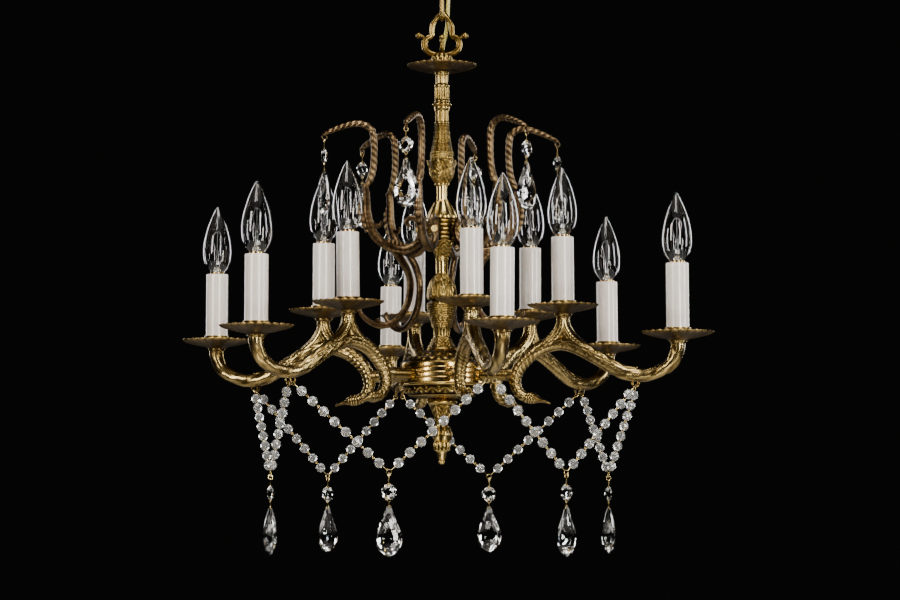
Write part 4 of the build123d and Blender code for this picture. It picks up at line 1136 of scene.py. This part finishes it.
def candle_pieces():
    """Twelve scalloped dishes, cups, sleeves and clear pointed bulbs."""
    tree = candle_ring_tree()

    def ringed(name, meshes, material, lean, seed=3):
        pattern = join("one_" + name, meshes, material)
        mesh = grow(pattern, tree, Count=ARM_COUNT, Outer_radius=OUTER[0] * MM,
                    Outer_height=OUTER[1] * MM, Inner_radius=INNER[0] * MM,
                    Inner_height=INNER[1] * MM, First_angle=radians(FIRST_ARM), Lean=lean,
                    Seed=seed, Finish=material)
        drop_object(pattern)
        mesh.name = name
        return mesh

    def stands(name, mesh, slot, node):
        piece = bpy.data.objects.new(name, mesh)
        bpy.context.scene.collection.objects.link(piece)
        place(piece, "chandelier", slot, node)

    stands("scalloped_dishes",
           ringed("dishes", [dish_mesh("dish", 0, (0, 0), 10.5, 10.4, 5.05)], DISH_BRASS, 0.0),
           "antique_brass", "bobeches")
    cup = lathe("cup", [(13.2, -3.1), (13.4, -2.5, 1), (13.3, 4.2, 1), (12.0, 7.4, 1), (10.8, 9.2),
                        (5.05, 9.2), (5.05, 6.3), (11.9, 6.3), (11.9, -3.1)], closed=True,
                around=72, relief=lambda a, d: 0.6 + 0.3 * np.cos(TAU * d / 3.2), depth=0.35)
    stands("sleeve_cups", ringed("cups", [cup], BRASS, 0.0), "antique_brass", "candle_cups")
    sleeve = lathe("sleeve", [(11.0, -69.9), (11.55, -69.9), (11.8, -69.4), (11.82, -40),
                              (11.82, 6.1), (10.9, 6.1), (10.9, -69.2)], closed=True,
                   around=64, step=5)
    stands("ivory_sleeves", ringed("sleeves", [sleeve], IVORY, radians(1.3)), "ivory_sleeve",
           "candle_sleeves")
    outside = [(0, -143.8), (1.2, -142.9, 1), (2.6, -140.2, 1), (4.6, -136.2, 1),
               (7.6, -129.6, 1), (11.0, -120.6, 1), (13.8, -110.8, 1), (15.4, -101.4, 1),
               (15.84, -94, 1), (14.9, -85.6, 1), (12.2, -78.2, 1), (9.0, -73.4, 1),
               (7.7, -71.4)]
    wall = 0.3
    lining = [(max(radius - wall, 0), drop + wall * 0.7, *kind)
              for radius, drop, *kind in outside[:0:-1]] + [(0, -142.6)]
    bulb = lathe("glass", [*outside, *lining], around=56, step=1.6, sharp=60)
    stands("clear_bulbs", ringed("bulbs", [bulb], BULB_GLASS, radians(1.3)), "bulb_glass",
           "bulb_glass")
    mount = lathe("glass_mount", [(0, -94.5), (1.0, -94, 1), (1.7, -90, 1), (1.3, -84, 1),
                                  (2.4, -78, 1), (4.6, -73.4), (0, -73.4)], around=16, step=1.4)
    wires = [round_wire("lead", [(side * 0.8, 0, 84), (side * 1.4, 0, 94), (side * 4.4, 0, 104),
                                 (side * 5.2, 0, 107)], 0.28, 6, 2.0) for side in (-1, 1)]
    loops = [(5.2 * cos(t), 1.2 * sin(3 * t), 107 + 9.5 * sin(t))
             for t in np.linspace(0, pi, 13)]
    coil = round_wire("coil", loops, 0.34, 6, 1.0)
    middle = round_wire("support", [(0, 0, 93), (0.2, 0.4, 104), (0, 0, 116)], 0.2, 5, 3.0)
    glass = ringed("mounts", [mount], BULB_GLASS, radians(1.3))
    metal = ringed("coils", [*wires, coil, middle], FILAMENT, radians(1.3))
    filaments = join("filaments", [metal, glass], FILAMENT, [FILAMENT, BULB_GLASS])
    place(filaments, "chandelier", "filament_wire", "bulb_filaments")
    for node, material in (("lamp_sockets", PHENOLIC), ("bulb_bases", GOLD),
                           ("arm_nipples", DULL_BRASS), ("scroll_screws", GOLD)):
        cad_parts[node].data.materials.clear()
        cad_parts[node].data.materials.append(material)


# ---- crystals -----------------------------------------------------------------------------

def faceted(name, rows, offsets):
    """A cut stone from rows of points; a row whose offset is 1 is turned by half a facet."""
    count = len(rows[0])
    verts = [tuple(v * MM for v in point) for row in rows for point in row]
    faces = [list(range(count))[::-1]]
    for r in range(len(rows) - 1):
        low, high = r * count, (r + 1) * count
        for k in range(count):
            after = (k + 1) % count
            if offsets[r] == offsets[r + 1]:
                faces.append([low + k, low + after, high + after, high + k])
            elif offsets[r + 1] > offsets[r]:
                faces += [[low + k, low + after, high + k],
                          [high + k, low + after, high + after]]
            else:
                faces += [[low + k, high + after, high + k], [low + k, low + after, high + after]]
    faces.append([(len(rows) - 1) * count + k for k in range(count)])
    mesh = bpy.data.meshes.new(name)
    mesh.from_pydata(verts, [], faces)
    work = bmesh.new()
    work.from_mesh(mesh)
    bmesh.ops.remove_doubles(work, verts=work.verts, dist=1e-6)
    bmesh.ops.recalc_face_normals(work, faces=work.faces)
    work.to_mesh(mesh)
    work.free()
    return mesh


def round_bead(name, radius):
    """A faceted round bead about the origin with its thread along Z."""
    rows = []
    offsets = []
    for lift, half in ((-0.93, 0), (-0.62, 1), (-0.02, 0), (0.60, 1), (0.93, 0)):
        reach = radius * sqrt(1 - lift * lift)
        rows.append([(reach * cos(TAU * (j + 0.5 * half) / 8),
                      reach * sin(TAU * (j + 0.5 * half) / 8), radius * lift)
                     for j in range(8)])
        offsets.append(half)
    return faceted(name, rows, offsets)


def flat_stone(name, outline, heart, thick, steps):
    """A stone cut alike on both sides of its girdle, standing in the XZ plane.

    steps gives (share of the outline, share of half the thickness, half facet) from the table
    to the girdle.
    """
    ring = np.array(outline, dtype=float)
    between = (ring + np.roll(ring, -1, axis=0)) / 2
    heart = np.array(heart, dtype=float)
    rows = []
    offsets = []
    sides = [(share, -high, half) for share, high, half in steps]
    sides += [(share, high, half) for share, high, half in steps[::-1]]
    for share, high, half in sides:
        flat = heart + share * ((between if half else ring) - heart)
        rows.append([(x, high * thick / 2, z) for x, z in flat])
        offsets.append(half)
    return faceted(name, rows, offsets)


def drop_meshes():
    """Wire eye, octagon, link and pear drop below a pivot at the origin, facing along Y."""
    eye = wire_loop("eye", (0, 0, -0.65), (1, 0, 0), 2.35, 0.42, 20, 6)
    top = -9.5
    octagon = [(8.3 * sin(TAU * (k + 0.5) / 8), top - 7.76 + 8.3 * cos(TAU * (k + 0.5) / 8))
               for k in range(8)]
    stone = flat_stone("octagon", octagon, (0, top - 7.76), 7.0,
                       [(0.42, 1.0, 0), (0.72, 0.72, 1), (1.0, 0.14, 0)])
    pear_top = top - 15.52 - 6
    right = [(2.2, 0.4), (4.2, 6.2), (7.0, 13), (10.4, 20.4), (13.0, 27.2), (13.8, 33),
             (12.4, 39.6), (8.6, 45.4), (4.0, 48.8)]
    pear = [(x, pear_top - z) for x, z in right] + [(0.0, pear_top - 49.8)]
    pear += [(-x, pear_top - z) for x, z in right[::-1]]
    drop = flat_stone("pear", pear, (0, pear_top - 32), 13.0,
                      [(0.30, 1.0, 0), (0.52, 0.86, 1), (0.78, 0.52, 0), (1.0, 0.10, 0)])
    wires = [
        round_wire("stem", [(0, 0, -3.4), (0.25, 0.1, -6.4), (0, 0, top - 1.2)], 0.42, 6),
        wire_loop("top_eye", (0, 0, top - 0.4), (0, 1, 0), 1.5, 0.4, 16, 6),
        wire_loop("low_eye", (0, 0, top - 15.6), (0, 1, 0), 1.7, 0.4, 16, 6),
        round_wire("link", [(0, 0, top - 17), (0.3, -0.15, top - 19), (0, 0, pear_top + 0.4)],
                   0.42, 6),
        wire_loop("pear_eye", (0, 0, pear_top - 0.9), (0, 1, 0), 1.7, 0.4, 16, 6),
        eye,
    ]
    return [stone, drop], wires


def crystal_drop(name, pivot, azimuth, eye_turn, body, node):
    """One drop below its pivot, its flat faces looking along the azimuth."""
    stones, wires = drop_meshes()
    for mesh in wires[-1:]:
        mesh.transform(Matrix.Rotation(radians(eye_turn), 4, "Z"))
    piece = join(name, [*stones, *wires], CRYSTAL,
                 [CRYSTAL] * len(stones) + [WIRE] * len(wires))
    flatten_facets(piece, CRYSTAL)
    piece.data.transform(Matrix.Translation(Vector(pivot) * MM)
                         @ Matrix.Rotation(radians(azimuth - 90), 4, "Z"))
    place(piece, body, "crystal", node)


def flatten_facets(piece, stone_material):
    """Shade the stones flat and leave the wires smooth."""
    stone = list(piece.data.materials).index(stone_material)
    for face in piece.data.polygons:
        face.use_smooth = face.material_index != stone


def polar(radius, angle, height):
    return Vector((radius * cos(radians(angle)), radius * sin(radians(angle)), height))


def crystal_pieces():
    """Tip drops on the scrolls, six bead garlands, and a drop below each garland."""
    tree = bead_string_tree()
    bead = new_object("one_bead", round_bead("bead", BEAD_R), BEAD_GLASS)
    knot = join("one_knot", [wire_loop("upper_eye", (0, 0, -0.75), (1, 0, 0), 1.15, 0.36, 12, 5),
                             wire_loop("under_eye", (0, 0, 0.75), (0, 1, 0), 1.15, 0.36, 12, 5),
                             round_wire("stub", [(0, 0, -1.9), (0, 0, -2.3), (0, 0, -2.9)],
                                        0.36, 5),
                             round_wire("stub", [(0, 0, 1.9), (0, 0, 2.3), (0, 0, 2.9)],
                                        0.36, 5)], WIRE)
    for number, angle in enumerate(SCROLL_ANGLES):
        crystal_drop(f"tip_crystal_{number + 1}", polar(TIP_RING_R, angle, TIP_PIVOT_Z), angle, 90,
                     f"tip_drop_{number + 1}", f"tip_drop_{number + 1}")
        before, after = angle - STEP_ANGLE / 2, angle + STEP_ANGLE / 2
        start = (polar(GARLAND_RING_R, before, GARLAND_RING_Z)
                 + polar(GARLAND_RING_SPREAD, before + 90, 0))
        finish = (polar(GARLAND_RING_R, after, GARLAND_RING_Z)
                  - polar(GARLAND_RING_SPREAD, after + 90, 0))
        middle = (start + finish) / 2 - Vector((0, 0, GARLAND_DROP))
        step = BEAD_STEP
        side = (middle - start).length
        string = step * (BEADS_PER_SIDE - 1)
        lead = (side - V_RING_R - V_RING_WIRE_R - string) / 2 + BEAD_LEAD
        common = dict(Near_end=start * MM, Far_end=finish * MM, Meeting=middle * MM, Spin=TAU,
                      Seed=number + 1)
        beads = grow(bead, tree, Lead=lead * MM, Step=step * MM, Beads=BEADS_PER_SIDE,
                     Finish=BEAD_GLASS, **common)
        knots = grow(knot, tree, Lead=(lead + step / 2) * MM, Step=step * MM,
                     Beads=BEADS_PER_SIDE - 1, Finish=WIRE, **common)
        metal = [knots, wire_loop("v_ring", middle, polar(1, angle, 0), V_RING_R,
                                  V_RING_WIRE_R, 24, 8)]
        for end in (start, finish):
            down = (middle - end).normalized()
            tangent = Vector((-end.y, end.x, 0)).normalized()
            metal.append(wire_loop("end_eye", end + down * 0.65, tangent.cross(down), 2.35,
                                   0.42, 20, 6))
            metal.append(round_wire("lead_wire", [end + down * 3.3, end + down * (lead / 2),
                                                  end + down * (lead - 5)], 0.4, 6))
            last = lead + string + 5
            metal.append(round_wire("end_wire", [end + down * last,
                                                 end + down * ((last + side - 2.7) / 2),
                                                 end + down * (side - 2.7)], 0.4, 6))
        garland = join(f"bead_garland_{number + 1}", [beads, *metal], BEAD_GLASS,
                       [BEAD_GLASS] + [WIRE] * len(metal))
        flatten_facets(garland, BEAD_GLASS)
        place(garland, f"garland_{number + 1}", "crystal", f"garland_{number + 1}")
        crystal_drop(f"lower_crystal_{number + 1}", middle - Vector((0, 0, V_RING_R)), angle, 0,
                     f"lower_drop_{number + 1}", f"lower_drop_{number + 1}")
    drop_object(bead)
    drop_object(knot)


ceiling_pieces()
chain_pieces()
supply_cord()
top_loop_piece()
stem_pieces()
arm_pieces()
scroll_pieces()
candle_pieces()
crystal_pieces()


# ---- floor, light and camera --------------------------------------------------------------

def floor():
    """A pale round floor well below the fixture."""
    mesh = bpy.data.meshes.new("studio_floor")
    work = bmesh.new()
    bmesh.ops.create_circle(work, cap_ends=True, segments=96, radius=FLOOR_R)
    work.to_mesh(mesh)
    work.free()
    mesh.transform(Matrix.Translation((0, 0, FLOOR_LEVEL)))
    finish = Finish("studio_floor")
    finish.colour(finish.ramp(finish.noise(1.5, 2), (0.3, (0.62, 0.61, 0.59)),
                              (0.7, (0.68, 0.67, 0.65))))
    finish.shader.inputs["Roughness"].default_value = 0.85
    new_object("studio_floor", mesh, finish.material)


def softbox(name, spot, aim, size, power, tint=(1, 1, 1)):
    """A rectangular soft light at a spot, facing its aim."""
    lamp = bpy.data.lights.new(name, "AREA")
    lamp.shape = "RECTANGLE"
    lamp.size, lamp.size_y = size
    lamp.energy = power
    lamp.color = tint
    stand = bpy.data.objects.new(name, lamp)
    stand.location = spot
    stand.rotation_euler = (Vector(aim) - Vector(spot)).to_track_quat("-Z", "Y").to_euler()
    bpy.context.scene.collection.objects.link(stand)


def studio():
    """Dark surroundings, soft boxes in front, above and behind, and the camera."""
    world = bpy.data.worlds.new("studio")
    world.use_nodes = True
    world.node_tree.nodes["Background"].inputs["Color"].default_value = DIM_GREY
    bpy.context.scene.world = world
    heart = (0, 0, -0.42)
    softbox("front_right_strip", (1.05, -2.3, 0.1), heart, (0.32, 1.9), 56, (1, 0.97, 0.90))
    softbox("front_left_box", (-1.9, -1.9, 0.3), heart, (0.6, 1.5), 50, (1, 0.95, 0.85))
    softbox("right_strip", (2.2, -0.6, 0.0), heart, (0.4, 1.5), 26, (0.97, 0.98, 1))
    softbox("top_box", (0.1, -0.5, 1.5), heart, (1.3, 1.1), 40, (1, 0.96, 0.9))
    softbox("back_left_strip", (-1.6, 1.6, 0.1), heart, (0.4, 1.5), 16)
    softbox("back_right_strip", (1.6, 1.6, 0.0), heart, (0.4, 1.5), 16)
    softbox("low_box", (0.3, -1.7, -1.75), heart, (1.2, 0.5), 12, (1, 0.95, 0.88))
    lens = bpy.data.cameras.new("camera")
    lens.lens = LENS
    lens.sensor_width = SENSOR
    camera = bpy.data.objects.new("camera", lens)
    camera.location = (0, -CAMERA_DISTANCE, CAMERA_LEVEL)
    camera.rotation_euler = (radians(CAMERA_TILT), 0, radians(CAMERA_ROLL))
    bpy.context.scene.collection.objects.link(camera)
    bpy.context.scene.camera = camera


floor()
studio()
